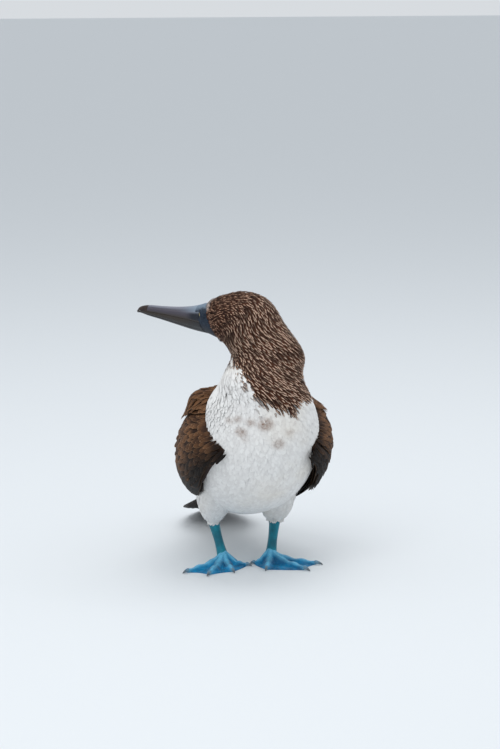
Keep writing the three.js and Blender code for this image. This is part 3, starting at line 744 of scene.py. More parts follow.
def nail_horn():
    """The bill's tip: darker and browner horn."""
    p = Painter("bill_nail")
    grain = p.noise(380.0, 4.0)
    base = p.mix(p.ramp(grain, 0.35, 0.65), (34, 22, 19), (58, 42, 37))
    return p.finish(base, 0.45, Normal=p.bump(grain, 0.25, 0.0003), Specular_IOR_Level=0.3)


def scaly_skin(name, dark, mid, light, scale):
    """Blue skin in small plates: dark in the joints, light on the raised middles."""
    p = Painter(name)
    plates = p.cells(scale)
    tint = p.noise(70.0, 4.0)
    ground = p.mix(p.ramp(tint, 0.3, 0.7), dark, mid)
    raised = p.mix(p.times(p.attribute("ridge"), p.ramp(tint, 0.2, 0.8, 0.5, 1.0)), ground, light)
    base = p.mix(p.ramp(plates, 0.0, 0.10, 0.45, 0.0), raised, dark)
    normal = p.bump(plates, 0.55, 0.0006, Normal=p.bump(p.noise(900.0), 0.15, 0.0003))
    gloss = p.ramp(tint, 0.3, 0.7, 0.34, 0.48)
    return p.finish(base, gloss, Normal=normal, Specular_IOR_Level=0.35)


def claw_horn():
    """Claws: blue at the root and grey at the tip."""
    p = Painter("claw_horn")
    grain = p.noise(500.0)
    base = p.mix(p.ramp(p.attribute("along"), 0.1, 0.9), (84, 136, 164), (66, 74, 82))
    base = p.mix(p.times(grain, 0.3), base, (160, 168, 172))
    return p.finish(base, 0.4, Normal=p.bump(grain, 0.2, 0.0003))


def iris_material():
    """Pale yellow iris with a round pupil, from the distance to the eye's axis."""
    p = Painter("iris")
    far = p.attribute("far")
    rays = p.noise(30.0, 4.0, vector=p.combine(p.times(far, 0.5), p.attribute("turn")))
    iris = p.mix(p.ramp(rays, 0.3, 0.7), (196, 168, 70), (240, 226, 150))
    ringed = p.mix(p.ramp(far, 0.38, 0.44), iris, (60, 52, 30))
    white = p.mix(p.ramp(far, 0.43, 0.46), ringed, (30, 34, 42))
    base = p.mix(p.ramp(far, 0.17, 0.19), (6, 6, 8), white)
    return p.finish(base, 0.08, Coat_Weight=0.4, Coat_Roughness=0.03)


# Where the coat is brown and where it is white, from places on the bird
def photo_side(points):
    """How far to the right, and how far towards the viewer, a place lies, seen with the chest turned."""
    turn = math.radians(CHEST_TURN)
    right = points[..., 0] * math.cos(turn) - points[..., 1] * math.sin(turn)
    near = -points[..., 0] * math.sin(turn) - points[..., 1] * math.cos(turn)
    return right, near


def smooth(value, low, high):
    """Smoothly from 0 to 1 between two limits."""
    k = np.clip((value - low) / (high - low), 0, 1)
    return k * k * (3 - 2 * k)


def on_line(value, line):
    """A height from a list of places and their heights."""
    places, heights = zip(*line)
    return np.interp(value, places, heights)


def brown_share(t, points):
    """1 where the coat is brown and streaked, 0 where it is white."""
    right, near = photo_side(points)
    x, z = points[..., 0], points[..., 2]
    wobble = 3 * np.sin(x * 0.31) + 3 * np.sin(z * 0.23 + x * 0.11)
    front = smooth((z + wobble - on_line(right, BIB)) / on_line(right, BIB_FADE), -1, 1)
    back = smooth(20 - near, 0, 26) * smooth(z, 120, 150)
    return np.where(t > 9.4, 1.0, np.maximum(front * smooth(t, 5.2, 6.2), back * smooth(t, 1.5, 2.6)))


def smudge_share(points):
    """The dark smudges on the breast."""
    right, near = photo_side(points)
    share = np.zeros(right.shape)
    for x, z, size, strength in SMUDGES:
        away = np.hypot(right - x, (points[..., 2] - z) * 1.2)
        share = np.maximum(share, strength * smooth(size + 4 - away, 0, 9))
    return share * (near > 40)


def fringe_share(t, angle):
    """The pale short feathers where the forehead meets the bill."""
    return 0.35 * smooth(t, 13.55, 13.85) * smooth(np.sin(np.radians(angle)), 0.35, 0.75)


def back_share(t, angle, top):
    """1 on the back between the wings, below the neck, and 0 elsewhere."""
    return smooth(np.sin(np.radians(angle)), 0.1, 0.5) * smooth(top - t, 0, 0.8)


def body_spacing(t, angle):
    """How far apart the quills are: closest on the face, widest on the back."""
    return np.interp(t, SPACING_PLACES, SPACINGS) * (1 + 1.9 * back_share(t, angle, 6.6))


def raised(points, spot):
    """How far the coat stands out round a loose spot."""
    away = np.linalg.norm(points - np.array(spot["place"]), axis=-1)
    return spot["rise"] * np.exp(-(away / spot["reach"]) ** 2)


def coat_batch(kind, t, angle, apart, tone):
    """One kind of body feather at these places."""
    count = len(t)
    rand = RANDOM.uniform(0, 1, count)
    style = COATS[kind]
    length = apart * style["length"] * RANDOM.uniform(0.85, 1.15, count)
    heading = RANDOM.normal(0, style["stray"], count)
    loose = raised(loft_points(BODY, t, angle), PUFF)
    rise = [np.full(count, r) + loose + RANDOM.uniform(-s, s, count) for r, s in style["rise"]]
    along = np.array(style["shape"]["along"], float)
    middles, normals = lay_feathers(t, angle, length, heading, rise, along)
    half = apart * style["half"] * RANDOM.uniform(0.85, 1.15, count)
    root = np.stack([t / (FEATHER_EDGE + 1) * 0.98 + 0.01, (angle % 360) / 360 * 0.98 + 0.01], -1)
    roll = RANDOM.normal(0, style["roll"], count)
    return feather_arrays(style, middles, normals, half, roll, rand, tone, root)


def add_coat(kind, material, t, angle, apart, tone):
    """One kind's feathers, in pieces of no more than the limit."""
    for start in range(0, len(t), COAT_LIMIT):
        some = slice(start, start + COAT_LIMIT)
        batch = coat_batch(kind, t[some], angle[some], apart[some], tone[some])
        values = batch[2]
        if kind == "streaked":
            values["grey"] = each_point(batch, smooth(t[some], 11, 12.5))
        if kind == "white":
            values["tone"] = values["tone"] * smudge_share(batch[0])
        name = f"coat_{kind}_{start // COAT_LIMIT + 1}"
        add_feathers(name, batch, material, soft=kind != "mantle")


def add_body_coats():
    """Sorts the body's feathers by kind, adds each coat and gives back their materials."""
    t, angle, apart = scatter(BODY, (0.02, FEATHER_EDGE), (0, 360), body_spacing, BODY_TRIES)
    brown = brown_share(t, loft_points(BODY, t, angle))
    back = back_share(t, angle, 6.5) > 0.5
    mottled = RANDOM.uniform(0, 1, len(t))
    streaked = (t > 6.0) & ~back & (brown > 0.04 + 0.8 * mottled)
    plumage = {"streaked": streaked, "white": ~streaked & ~back, "mantle": back}
    looks = {"streaked": streaked_feathers(), "white": white_feathers(), "mantle": brown_feathers()}
    tones = {
        "streaked": np.clip(0.2 + 1.1 * brown, 0, 1) * (1 - fringe_share(t, angle)),
        "white": 0.6 + 0.4 * mottled,
        "mantle": 0.5 + 0.5 * mottled,
    }
    for kind, here in plumage.items():
        add_coat(kind, looks[kind], t[here], angle[here], apart[here], tones[kind][here])
    return looks


def thigh_spacing(t, angle):
    """How far apart a thigh's quills are: closest at the hem."""
    return np.interp(t, (0, THIGH_END), (3.0, 2.2))


def thigh_batch(side):
    """A thigh's feathers, which lie fuller at the hem and hang a little below it."""
    stations = thigh(side)
    t, angle, apart = scatter(stations, (0.6, THIGH_END - 0.02), (0, 360), thigh_spacing, 12000)
    count = len(t)
    along = np.array(SMALL_SHAPE["along"])
    slope = paces(stations, t, angle)[0]
    length = apart * 4.0 * RANDOM.uniform(0.85, 1.15, count) * (1 - 0.4 * smooth(t, 2.6, THIGH_END))
    full = t[:, None] + (length / slope)[:, None] * along
    tt = np.minimum(full, THIGH_END)
    aa = angle[:, None] + RANDOM.normal(0, 9, count)[:, None] * along
    hem = 1.6 * smooth(tt, 2.7, THIGH_END) - THIGH_FULL[side] * smooth(tt, 1.6, 2.8)
    rise = SKIN_DEPTH + np.interp(along, (0, 0.5, 1), (0, 1.8, 2.5))
    grow = rise + RANDOM.uniform(-0.2, 0.2, count)[:, None] - hem
    middles = loft_points(stations, tt, aa, grow)
    middles[..., 2] -= (full - tt) * slope[:, None] * 0.8
    normals = loft_slopes(stations, tt, aa, grow)[2]
    root = np.stack([0.02 + t / 3.2 * 0.9, 0.01 + angle / 360 * 0.98], -1)
    return feather_arrays(THIGH_FEATHER, middles, normals, apart * 1.05, RANDOM.normal(0, 0.1, count),
                          RANDOM.uniform(0, 1, count), np.zeros(count), root)


def add_thigh_coats(material):
    for name, side in SIDES:
        add_feathers(f"coat_thigh_{name}", thigh_batch(side), material, soft=True)


# The wings
def wing_angle(side, angle):
    """The same place on either wing: angles are the left one's own."""
    return angle if side > 0 else 180 - angle


def on_wing(side, t, angle, grow):
    """Points over a wing's surface, and its normals there."""
    turned = wing_angle(side, angle)
    return loft_points(WING, t, turned, grow), loft_slopes(WING, t, turned, grow)[2]


def wing_root(t, angle):
    """Where feathers that start here keep their bake."""
    return np.stack([0.02 + t / 8 * 0.96, 0.02 + (angle + 90) / 180 * 0.96], -1)


def loosen(side, middles, normals):
    """Lifts the right shoulder's feathers, which stand up in the photograph."""
    return middles if side > 0 else middles + normals * raised(middles, SHOULDER)[..., None]


def darken_and_shade(batch, angle):
    """Gives each feather of a wing its darkness: the low ones by the belly are nearly black, darker
    feathers with painted shade.
    """
    batch[2]["dark"] = each_point(batch, smooth(-angle, *LOW_DARK_AND_SHADE))
    return batch


def tier_batch(side, tier):
    """One tier's feathers, each from its place on the root line to its place on the tip line."""
    count = tier["count"]
    k = np.linspace(0, 1, count) + RANDOM.normal(0, 0.006, count)
    t0, a0 = [(1 - k) * low + k * high for low, high in zip(*tier["root"])]
    t1, a1 = [(1 - k) * low + k * high for low, high in zip(*tier["tip"])]
    trim = LOW_TRIM[side] * (FLIGHT_TRIM if tier["kind"] == "flight" else 1) * np.clip(1 - k, 0, 1)
    a0, a1 = a0 + trim, a1 + trim
    along = np.array(LONG_SHAPE["along"])
    tip = t0 + (t1 - t0) * RANDOM.uniform(0.97, 1.03, count)
    tt = t0[:, None] + (tip - t0)[:, None] * along
    aa = a0[:, None] + (a1 - a0)[:, None] * along + RANDOM.normal(0, 0.5, (count, 1))
    start, end = tier["lift"]
    middles, normals = on_wing(side, tt, aa, start + (end - start) * np.minimum(along * 3.3, 1))
    roll = np.full(count, side * tier["cross"]) + RANDOM.normal(0, 0.015, count)
    half = tier["half"] * RANDOM.uniform(0.93, 1.07, count)
    batch = feather_arrays(WING_VANE, middles, normals, half, roll, RANDOM.uniform(0, 1, count),
                           RANDOM.uniform(0.4, 1, count), wing_root(t0, a0), 0.02)
    return darken_and_shade(batch, a1)


def scapular_spacing(t, angle):
    """How far apart the scapulars' quills are: the same everywhere."""
    return np.full(t.shape, 4.6)


def scapular_batch(side):
    """The loose feathers over the shoulder, whose ragged tips stand out over the coverts below."""
    t, angle, _ = scatter(WING, (-0.02, 1.3), (29, 68), scapular_spacing, 2500)
    count = len(t)
    along = np.array(BROAD_SHAPE["along"])
    length = RANDOM.uniform(16, 22, count)
    slope, around = paces(WING, t, wing_angle(side, angle))
    tips = np.maximum(angle - length * 0.9 / around, RANDOM.uniform(20, 25, count))
    tt = t[:, None] + (length * 0.42 / slope)[:, None] * along
    aa = angle[:, None] + (tips - angle)[:, None] * along
    ledge = 1.0 + 3.6 * smooth(-tips, -34, -24)
    lift = -2.6 + (2.2 + ledge)[:, None] * along ** 0.8 + RANDOM.uniform(-0.3, 0.6, count)[:, None]
    middles, normals = on_wing(side, tt, aa, lift)
    middles = loosen(side, middles, normals)
    return feather_arrays(SCAPULAR, middles, normals, RANDOM.uniform(2.8, 4.0, count),
                          RANDOM.normal(0, 0.1, count), RANDOM.uniform(0.2, 1, count),
                          RANDOM.uniform(0.1, 1, count), wing_root(t + 0.1, angle))


def covert_spacing(t, angle):
    """How far apart the small coverts' quills are: closest at the shoulder and along the lower edge."""
    return np.interp(t, (-0.1, 0.5, 1.6), (3.8, 5.0, 7.0)) * (1 - 0.25 * smooth(-angle, 10, 40))


def small_covert_batch(side):
    """The many small coverts that cover the shoulder and the front of the wing."""
    t, angle, apart = scatter(WING, (0.0, 1.75), (-40 + LOW_TRIM[side], 64), covert_spacing, 5000)
    count = len(t)
    length = apart * 3.3 * RANDOM.uniform(0.85, 1.15, count)
    slope = paces(WING, t, wing_angle(side, angle))[0]
    along = np.array(BROAD_SHAPE["along"])
    fan = RANDOM.normal(0, 3, count) - 4 * smooth(-angle, 0, 40)
    tt = t[:, None] + (length / slope)[:, None] * along
    aa = angle[:, None] + fan[:, None] * along
    lift = -3.4 + np.interp(along, (0, 0.4, 1), (0, 2.4, 3.6)) + RANDOM.uniform(-0.3, 0.4, count)[:, None]
    middles, normals = on_wing(side, tt, aa, lift)
    middles = loosen(side, middles, normals)
    batch = feather_arrays(SMALL_COVERT, middles, normals, apart * 0.6, RANDOM.normal(0, 0.08, count),
                           RANDOM.uniform(0, 1, count), RANDOM.uniform(0.2, 1, count), wing_root(t, angle))
    return darken_and_shade(batch, angle)


def wing_core(side):
    """The arm under the coverts, so that no light shows between them."""
    rings, half = 26, 24
    t = np.linspace(0.1, 3.3, rings)[:, None]
    shrink = 1 - 0.3 * np.abs(np.linspace(-1, 1, rings)) ** 3
    arc = np.linspace(-36, 58, half) * shrink[:, None]
    outer = loft_points(WING, t, wing_angle(side, arc), np.interp(t, (0, 3.4), (-4.6, -17)))
    inner = loft_points(WING, t, wing_angle(side, arc[:, ::-1]), -22)
    return np.concatenate([outer, inner], axis=1).reshape(-1, 3), tube_faces(rings, 2 * half)


def add_wings(flight, covert):
    for name, side in SIDES:
        points, faces = wing_core(side)
        if side > 0:
            faces = [face[::-1] for face in faces]
        plain = {key: np.full(len(points), 0.3) for key in ("along", "across", "rand", "tone")}
        add_piece(f"wing_arm_{name}", points, faces, covert, values=plain)
        tiers = {kind: join_arrays([tier_batch(side, tier) for tier in WING_TIERS if tier["kind"] == kind])
                 for kind in ("flight", "covert")}
        for piece, batch, material, replaced in (
            ("flight_feathers", tiers["flight"], flight, (f"wing_{name}",)),
            ("coverts", tiers["covert"], covert, ()),
            ("small_coverts", small_covert_batch(side), covert, ()),
            ("scapulars", scapular_batch(side), covert, ()),
        ):
            add_feathers(f"{piece}_{name}", batch, material, replaced)


# The tail
def tail_batch(style, places, lengths, levels, half):
    """Tail feathers: each one's place from the middle, its length and its height at the root."""
    count = len(places)
    places, lengths, levels = (np.asarray(v, float)[:, None] for v in (places, lengths, levels))
    swing = np.radians(TAIL["yaw"] + places * TAIL["spread"])
    slope = math.radians(TAIL["slope"])
    run = 4 + (lengths - 4) * np.array(style["shape"]["along"])
    droop = TAIL["droop"] * (run / LONGEST_TAIL_FEATHER) ** 2
    x = TAIL["x"] + np.cos(swing) * places * 2.6 + np.sin(swing) * run * math.cos(slope)
    y = TAIL["y"] - np.sin(swing) * places * 2.6 + np.cos(swing) * run * math.cos(slope)
    z = TAIL["z"] + levels - droop - math.sin(slope) * run
    middles = np.stack([x, y, z], -1)
    normals = np.broadcast_to(np.array([0, math.sin(slope), math.cos(slope)]), middles.shape)
    root = np.stack([0.1 + 0.8 * (places[:, 0] + 8) / 16, 0.1 + np.arange(count) * 0.004], -1)
    return feather_arrays(style, middles, normals, np.full(count, half), np.zeros(count),
                          RANDOM.uniform(0, 1, count), RANDOM.uniform(0.3, 0.9, count), root, 0.015)


def add_tail(flight, white):
    """Long feathers in pairs, the middle ones on top, and four rows of coverts over and under them."""
    order = np.arange(2 * TAIL_PAIRS)
    pair = order // 2
    places = (pair + 0.5) * np.where(order % 2, -1, 1)
    lengths = LONGEST_TAIL_FEATHER * (1 - 0.062 * pair - 0.006 * pair * pair)
    long_ones = tail_batch(TAIL_VANE, places, lengths, 3.5 - TAIL_LAYER * order, 12)
    add_feathers("tail_feathers", long_ones, flight, ("tail",))
    over, under = [], []
    for row in range(4):
        spots = np.linspace(-3.6, 3.6, 8) + 0.4 * (row % 2)
        shorter = np.abs(spots) * 1.4
        arch = np.abs(spots) * 0.5
        over.append(tail_batch(TAIL_COVERT, spots, 66 - 15 * row - shorter, 8.6 + 0.8 * row - arch, 9))
        under.append(tail_batch(TAIL_COVERT, spots, 82 - 17 * row - shorter, -11.2 - 0.8 * row + arch, 9))
    add_feathers("tail_coverts_over", join_arrays(over), flight)
    clean = join_arrays(under)
    clean[2]["tone"] = clean[2]["tone"] * 0
    add_feathers("tail_coverts_under", clean, white)


# The skin under the coat
def ring_mesh(stations, t, sides, grow):
    """A closed tube along a loft."""
    rings = loft_points(stations, t[:, None], np.arange(sides) * 360 / sides, grow)
    return rings.reshape(-1, 3), tube_faces(len(t), sides)


def remeshed(points, faces):
    """One closed mesh round all of these, as points in millimetres and polygons."""
    raw = bpy.data.meshes.new("skin_raw")
    raw.from_pydata(metres(points).tolist(), [], faces)
    holder = bpy.data.objects.new("skin_raw", raw)
    bpy.context.collection.objects.link(holder)
    remesh = holder.modifiers.new("join", "REMESH")
    remesh.mode = "VOXEL"
    remesh.voxel_size = SKIN_VOXEL
    soften = holder.modifiers.new("soften", "SMOOTH")
    soften.iterations = 4
    ready = holder.evaluated_get(bpy.context.evaluated_depsgraph_get())
    mesh = bpy.data.meshes.new_from_object(ready)
    bpy.data.objects.remove(holder)
    co = np.zeros(len(mesh.vertices) * 3)
    mesh.vertices.foreach_get("co", co)
    return co.reshape(-1, 3) * 1000 - OFFSET, [list(f.vertices) for f in mesh.polygons]


def nearest_index(targets, points):
    """For each point, which of the targets is nearest."""
    tree = KDTree(len(targets))
    for i, p in enumerate(targets):
        tree.insert(p, i)
    tree.balance()
    return np.array([tree.find(p)[1] for p in points])


def add_skin():
    """One closed skin: the body, neck, head and thighs, a coat's depth inside their solids."""
    tubes = [ring_mesh(BODY, np.linspace(0, FEATHER_EDGE, 120), 72, SKIN_DEPTH)]
    for _, side in SIDES:
        tubes.append(ring_mesh(thigh(side), np.linspace(0, THIGH_END, 30), 40, SKIN_DEPTH))
        tubes.append(ring_mesh(shank(side), np.linspace(0.2, 1.1, 8), 24, SKIN_DEPTH / 2))
    points, faces = remeshed(*join_meshes(tubes))
    t, angle = (v.ravel() for v in np.meshgrid(np.linspace(0, FEATHER_EDGE, 141), np.arange(0, 360, 12)))
    nearest = nearest_index(loft_points(BODY, t, angle, SKIN_DEPTH), points)
    tone = np.maximum(smooth(brown_share(t[nearest], points), 0.5, 1), 0.6 * smudge_share(points))
    replaced = ("torso", "neck_lower", "neck_upper", "head", "thigh_left", "thigh_right")
    add_piece("skin", points, faces, skin_material(), replaced, {"tone": tone})


# The face, eyes and bill
def head_axes():
    """Ahead, left and up for the head."""
    turn = math.radians(HEAD["turn"])
    ahead = np.array([-math.sin(turn), -math.cos(turn), 0])
    left = np.array([math.cos(turn), -math.sin(turn), 0])
    return ahead, left, np.array([0, 0, 1.0])


def eye_centre(side):
    """The middle of an eyeball."""
    ahead, left, up = head_axes()
    middle = np.array([HEAD["x"], HEAD["y"], HEAD["z"]]) + ahead * (FACE_START + EYE_AHEAD) + up * EYE_UP
    return middle + left * side * EYE_ASIDE


def eye_axis(side):
    """The way an eye looks."""
    ahead, left, _ = head_axes()
    a = math.radians(EYE_ANGLE)
    return ahead * math.cos(a) + left * side * math.sin(a)


def eye_places(side, points):
    """Points in an eye's own frame, whose z looks out, as places on the bird."""
    spin = Vector(eye_axis(side)).to_track_quat("Z", "Y")
    return points @ np.array(spin.to_matrix()).T + eye_centre(side)


def add_face():
    """Bare skin up to the bill: wrapped round each eyeball, and sunk behind it in the lids' opening."""
    material = face_skin()
    t = np.linspace(0.15, 4, 90)
    sides = 144
    angle = np.arange(sides) * 360 / sides
    points = loft_points(FACE, t[:, None], angle, 0.0)
    for _, side in SIDES:
        away = points - eye_centre(side)
        far = np.linalg.norm(away, axis=-1)
        off = np.degrees(np.arccos(np.clip(unit(away) @ eye_axis(side), -1, 1)))
        wrapped = np.maximum(far, EYE_RADIUS + 0.9 - 0.6 * smooth(off, 60, 95))
        sunken = np.minimum(far, EYE_RADIUS - 1.6)
        share = smooth(off, LID_OPENING, LID_OPENING + 9)
        points = eye_centre(side) + unit(away) * (sunken * (1 - share) + wrapped * share)[..., None]
    values = {"high": np.broadcast_to(np.sin(np.radians(angle)), points.shape[:2]).ravel()}
    faces = tube_faces(len(t), sides)
    add_piece("face_skin", points.reshape(-1, 3), faces, material, ("face",), values)
    for name, side in SIDES:
        add_eyeball(name, side)
        add_lids(name, side, material)


def add_eyeball(name, side):
    """An eyeball, with each point's distance from its axis and turn round it for the iris."""
    bpy.ops.mesh.primitive_uv_sphere_add(segments=48, ring_count=32, radius=1)
    ball = bpy.context.object
    co = np.array([v.co[:] for v in ball.data.vertices])
    faces = [list(f.vertices) for f in ball.data.polygons]
    bpy.data.objects.remove(ball)
    polar = np.degrees(np.arccos(np.clip(co[:, 2], -1, 1))) / 90
    turn = np.arctan2(co[:, 1], co[:, 0]) / math.pi
    bulge = 1 + 0.01 * np.clip(1 - polar / 0.6, 0, 1)[:, None]
    points = eye_places(side, co * bulge * (EYE_RADIUS - 0.2))
    values = {"far": polar, "turn": turn}
    add_piece(f"eyeball_{name}", points, faces, iris_material(), (f"eye_{name}",), values)


def add_lids(name, side, material):
    """Both lids as one ring round the opening, with a skirt that reaches under the face's skin."""
    rings, sides = 64, 14
    a = np.linspace(0, 2 * math.pi, rings, endpoint=False)[:, None]
    b = np.linspace(0, 2 * math.pi, sides, endpoint=False)
    x, y = np.cos(a) * LID_OPEN_WIDE, np.sin(a) * LID_OPEN_HIGH
    reach = np.hypot(x, y)
    thick = 1.1 + 0.25 * np.sin(a)
    skirt = np.maximum(np.cos(b), 0)
    r = 1 + thick * np.cos(b) * (1 + 0.7 * skirt) / reach
    rest = np.sqrt(np.maximum(EYE_RADIUS ** 2 - reach ** 2, 1))
    height = rest + thick * np.sin(b) - 0.2 - 1.6 * skirt ** 2
    points = eye_places(side, np.stack([x * r, y * r, height], -1).reshape(-1, 3))
    i, j = np.arange(rings)[:, None], np.arange(sides)
    here, there, beside = i * sides, (i + 1) % rings * sides, (j + 1) % sides
    faces = np.stack([here + j, here + beside, there + beside, there + j], -1).reshape(-1, 4)
    add_piece(f"lids_{name}", points, faces, material, values={"high": np.zeros(len(points))})


def bill_half(t_range, rings, sides, upper):
    """Half of the bill: a groove runs along each side of the upper one."""
    t = np.linspace(*t_range, rings)[:, None]
    angle = np.linspace(0, 180, sides)
    crest = np.abs(90 - angle)
    sign = 1 if upper else -1
    if upper:
        fade = smooth(4.2 - t, 0, 0.6)
        depth = 0.35 * fade * np.exp(-((crest - 62) / 9) ** 2) - fade * np.exp(-((crest - 46) / 6.5) ** 2)
    else:
        depth = -0.5 * smooth(4.6 - t, 0, 1) * np.exp(-((crest - 52) / 8) ** 2)
    points = loft_points(BILL, t, sign * angle, depth)
    points[..., 2] += sign * LIP_GAP
    values = {
        "far": np.broadcast_to(t / BILL_END, depth.shape).ravel(),
        "high": np.broadcast_to(sign * np.sin(np.radians(angle)), depth.shape).ravel(),
    }
    return points.reshape(-1, 3), values


def add_bill():
    horn, nail = bill_horn(), nail_horn()
    sides = 41
    for name, span, rings, upper, node, slot, material in (
        ("upper_bill", (-0.2, NAIL_START), 90, True, "bill_upper", "bill_horn", horn),
        ("bill_tip", (NAIL_START - 0.02, BILL_END), 40, True, "bill_nail", "bill_nail", nail),
        ("lower_bill", (-0.2, BILL_END), 120, False, "bill_lower", "bill_horn", horn),
    ):
        points, values = bill_half(span, rings, sides, upper)
        faces = tube_faces(rings, sides)
        if upper:
            faces = [face[::-1] for face in faces]
        add_piece(name, points, faces, material, (node,), values)


# Legs and feet
def toe_radius(radius, k):
    """A toe's radius a share k of the way along it, with its knuckles."""
    knuckle = 1 + 0.13 * np.cos(2 * np.pi * (3 * k - 0.1))
    return radius * (1 - 0.46 * k) * knuckle


def foot_reach(bearing, toes):
    """How far the foot reaches: scalloped webs between the toes, close round the outermost ones."""
    reach = np.zeros(bearing.shape)
    for (a0, near, _), (a1, far, _) in zip(toes, toes[1:]):
        k = np.clip((bearing - a0) / (a1 - a0), 0, 1)
        web = (near * (1 - k) + far * k) * (1 - WEB_SCALLOP * np.sin(np.pi * k) ** 0.8)
        reach = np.where((bearing >= a0) & (bearing <= a1), web, reach)
    for (angle, length, _), outer in ((toes[0], -1), (toes[-1], 1)):
        beyond = (bearing - angle) * outer
        edge = 5.0 / np.maximum(np.sin(np.radians(np.clip(beyond, 0.5, 90))), 0.03)
        reach = np.where(beyond > 0, np.minimum(edge * 0.95, length), reach)
    return reach


def foot_height(bearing, r, toes):
    """How high the foot is over the floor, and how much of each place belongs to a toe."""
    height = np.full(r.shape, WEB_THICKNESS)
    ridge = np.zeros(r.shape)
    for angle, length, radius in toes:
        off = np.radians(bearing - angle)
        ahead = r * np.cos(off)
        away = np.abs(r * np.sin(off))
        k = np.clip(ahead / length, 0, 1)
        size = toe_radius(radius, k)
        base = np.interp(k, (0, 0.38, 1), (ANKLE_HEIGHT - 1.6, 0, 0)) + size * 0.72
        scute = 0.16 * np.abs(np.sin(ahead * 1.25)) * np.clip(1 - away / size, 0, 1)
        profile = base + size * np.sqrt(np.clip(1 - (away / size) ** 2, 0, 1)) + scute
        slope = base + size - np.clip(away - size * 0.5, 0, None) * 0.8
        toe = np.where(away < size, profile, 0)
        toe = np.where(ahead > -2, np.maximum(toe, slope * (slope > WEB_THICKNESS)), toe)
        height = np.maximum(height, toe)
        ridge = np.maximum(ridge, np.clip(1.25 - away / size, 0, 1))
    return np.maximum(height, ANKLE_HEIGHT + INSTEP - 0.95 * np.clip(r - 4, 0, None)), ridge


def sheet_faces(rays, rings):
    """Quads over a sheet of points and under it, and walls round three of its edges."""
    i = np.arange(rays - 1)[:, None] * rings
    j = np.arange(rings - 1)
    quads = np.stack([i + j, i + j + 1, i + rings + j + 1, i + rings + j], -1).reshape(-1, 4)
    below = rays * rings
    rim = list(range(rings)) + [ray * rings + rings - 1 for ray in range(1, rays)]
    rim += [(rays - 1) * rings + k for k in range(rings - 2, -1, -1)]
    walls = [[b, a, a + below, b + below] for a, b in zip(rim, rim[1:])]
    return quads.tolist() + (quads[:, ::-1] + below).tolist() + walls


def foot_arrays(side, toes):
    """A webbed foot as one closed sheet over the floor, raised along each toe."""
    rays, rings = 260, 110
    bearing = np.linspace(toes[0][0] - 14, toes[-1][0] + 10, rays)[:, None]
    share = np.linspace(0, 1, rings)
    r = foot_reach(bearing, toes) * share
    height, ridge = foot_height(bearing, r, toes)
    web = 1 - ridge
    height = height + 0.3 * np.sin(np.radians(bearing) * 34 + r * 0.07) * smooth(r, 14, 34) * web
    height = height * (1 - smooth(share, 0.93, 1.0) * 0.45 * web)
    a = np.radians(bearing)
    top = np.stack([side * (TARSUS_HALF_SPREAD + r * np.sin(a)), -r * np.cos(a), height], -1)
    points = np.concatenate([top, top * (1, 1, 0)]).reshape(-1, 3)
    faces = sheet_faces(rays, rings)
    if side < 0:
        faces = [face[::-1] for face in faces]
    return points, faces, {"ridge": np.tile(ridge.ravel(), 2)}


def add_claw(name, side, toe, length, material):
    """A claw on the end of a toe, curved down to its point."""
    angle, reach, radius = toe
    a = math.radians(angle)
    ahead = np.array([side * math.sin(a), -math.cos(a), 0])
    across = np.array([-ahead[1], ahead[0], 0])
    base = radius * 0.5
    rings, sides = 16, 14
    k = np.linspace(-0.12, 1, rings)[:, None]
    turn = np.linspace(0, 2 * np.pi, sides, endpoint=False)
    size = base * np.sqrt(np.clip(1 - 0.95 * k, 0.02, 1)) * np.where(k < 0, 1 + k, 1)
    middle = np.array([side * TARSUS_HALF_SPREAD, 0, 0]) + ahead * (reach + 0.35 + length * k)[..., None]
    points = middle + across * (np.cos(turn) * size * 0.85)[..., None]
    points[..., 2] = 1.3 + base * (0.9 - 0.9 * np.maximum(k, 0) ** 2) + np.sin(turn) * size
    points = points.reshape(-1, 3)
    values = {"along": np.broadcast_to(k, (rings, sides)).ravel()}
    faces = tube_faces(rings, sides)
    add_piece(f"talon_{name}", points, faces, material, (f"claw_{name}",), values)


def add_tarsus(name, side, material):
    """A shank, with plates down its front."""
    stations = shank(side)
    rings, sides = 70, 48
    t = np.linspace(0.15, len(stations) - 1, rings)[:, None]
    angle = np.arange(sides) * 360 / sides
    plates = PLATE_HEIGHT * np.abs(np.sin(t * 16)) * smooth(-np.sin(np.radians(angle)), 0.2, 0.7)
    points = loft_points(stations, t, angle, plates + 0.8).reshape(-1, 3)
    values = {"ridge": (plates / PLATE_HEIGHT * 0.7).ravel()}
    faces = tube_faces(rings, sides)
    add_piece(f"tarsus_{name}", points, faces, material, (f"shank_{name}",), values)


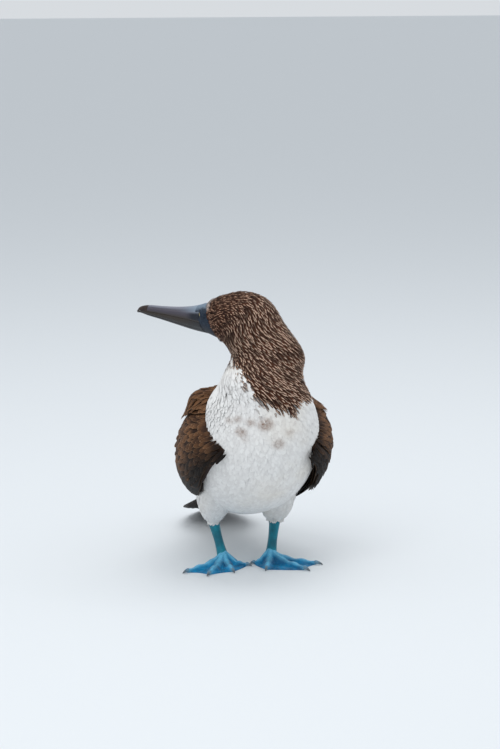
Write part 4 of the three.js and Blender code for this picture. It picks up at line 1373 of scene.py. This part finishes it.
def add_legs():
    leg_skin = scaly_skin("leg_skin", (0, 96, 114), (0, 140, 160), (70, 186, 200), 520.0)
    foot_skin = scaly_skin("foot_skin", (0, 88, 132), (0, 136, 188), (118, 202, 236), 700.0)
    horn = claw_horn()
    for name, side in reversed(SIDES):
        add_tarsus(name, side, leg_skin)
        points, faces, values = foot_arrays(side, FEET[name])
        add_piece(f"webbed_foot_{name}", points, faces, foot_skin, (f"foot_{name}",), values)
        for toe_name, toe, length in zip(TOE_NAMES, FEET[name], CLAW_LENGTHS):
            add_claw(f"{name}_{toe_name}", side, toe, length, horn)


# The stage: floor, light and camera
def add_stage():
    bpy.ops.mesh.primitive_plane_add(size=FLOOR_SIZE, location=(0, 0, 0))
    floor = bpy.context.object
    floor.name = "floor"
    floor.data.materials.append(Painter("floor").finish(FLOOR_COLOUR, 0.85))
    world = bpy.data.worlds.new("studio")
    bpy.context.scene.world = world
    world.use_nodes = True
    background = world.node_tree.nodes["Background"]
    background.inputs["Color"].default_value = SKY_COLOUR
    background.inputs["Strength"].default_value = SKY_STRENGTH
    for name, place, size, power in LIGHTS:
        add_light(name, place, size, power)
    bpy.context.scene.view_settings.view_transform = "Standard"


def add_light(name, place, size, power):
    data = bpy.data.lights.new(name, "AREA")
    data.size = size
    data.energy = power
    light = bpy.data.objects.new(name, data)
    light.location = place
    light.rotation_euler = (Vector((0, 0, 0.2)) - Vector(place)).to_track_quat("-Z", "Y").to_euler()
    bpy.context.collection.objects.link(light)


def add_camera():
    turn = math.radians(CHEST_TURN)
    rise = math.radians(CAMERA_RISE)
    back = np.array([-math.sin(turn) * math.cos(rise), -math.cos(turn) * math.cos(rise), math.sin(rise)])
    aim = metres(CAMERA_AIM)
    camera = bpy.data.objects.new("camera", bpy.data.cameras.new("camera"))
    camera.data.lens = CAMERA_LENS
    camera.data.sensor_width = 36
    camera.data.clip_end = 100
    camera.location = aim + back * CAMERA_DISTANCE / 1000
    camera.rotation_euler = Vector(-back).to_track_quat("-Z", "Y").to_euler()
    bpy.context.collection.objects.link(camera)
    bpy.context.scene.camera = camera


add_stage()
add_camera()
add_skin()
coats = add_body_coats()
add_thigh_coats(coats["white"])
flight = flight_feathers()
add_wings(flight, coats["mantle"])
add_tail(flight, coats["white"])
add_face()
add_bill()
add_legs()
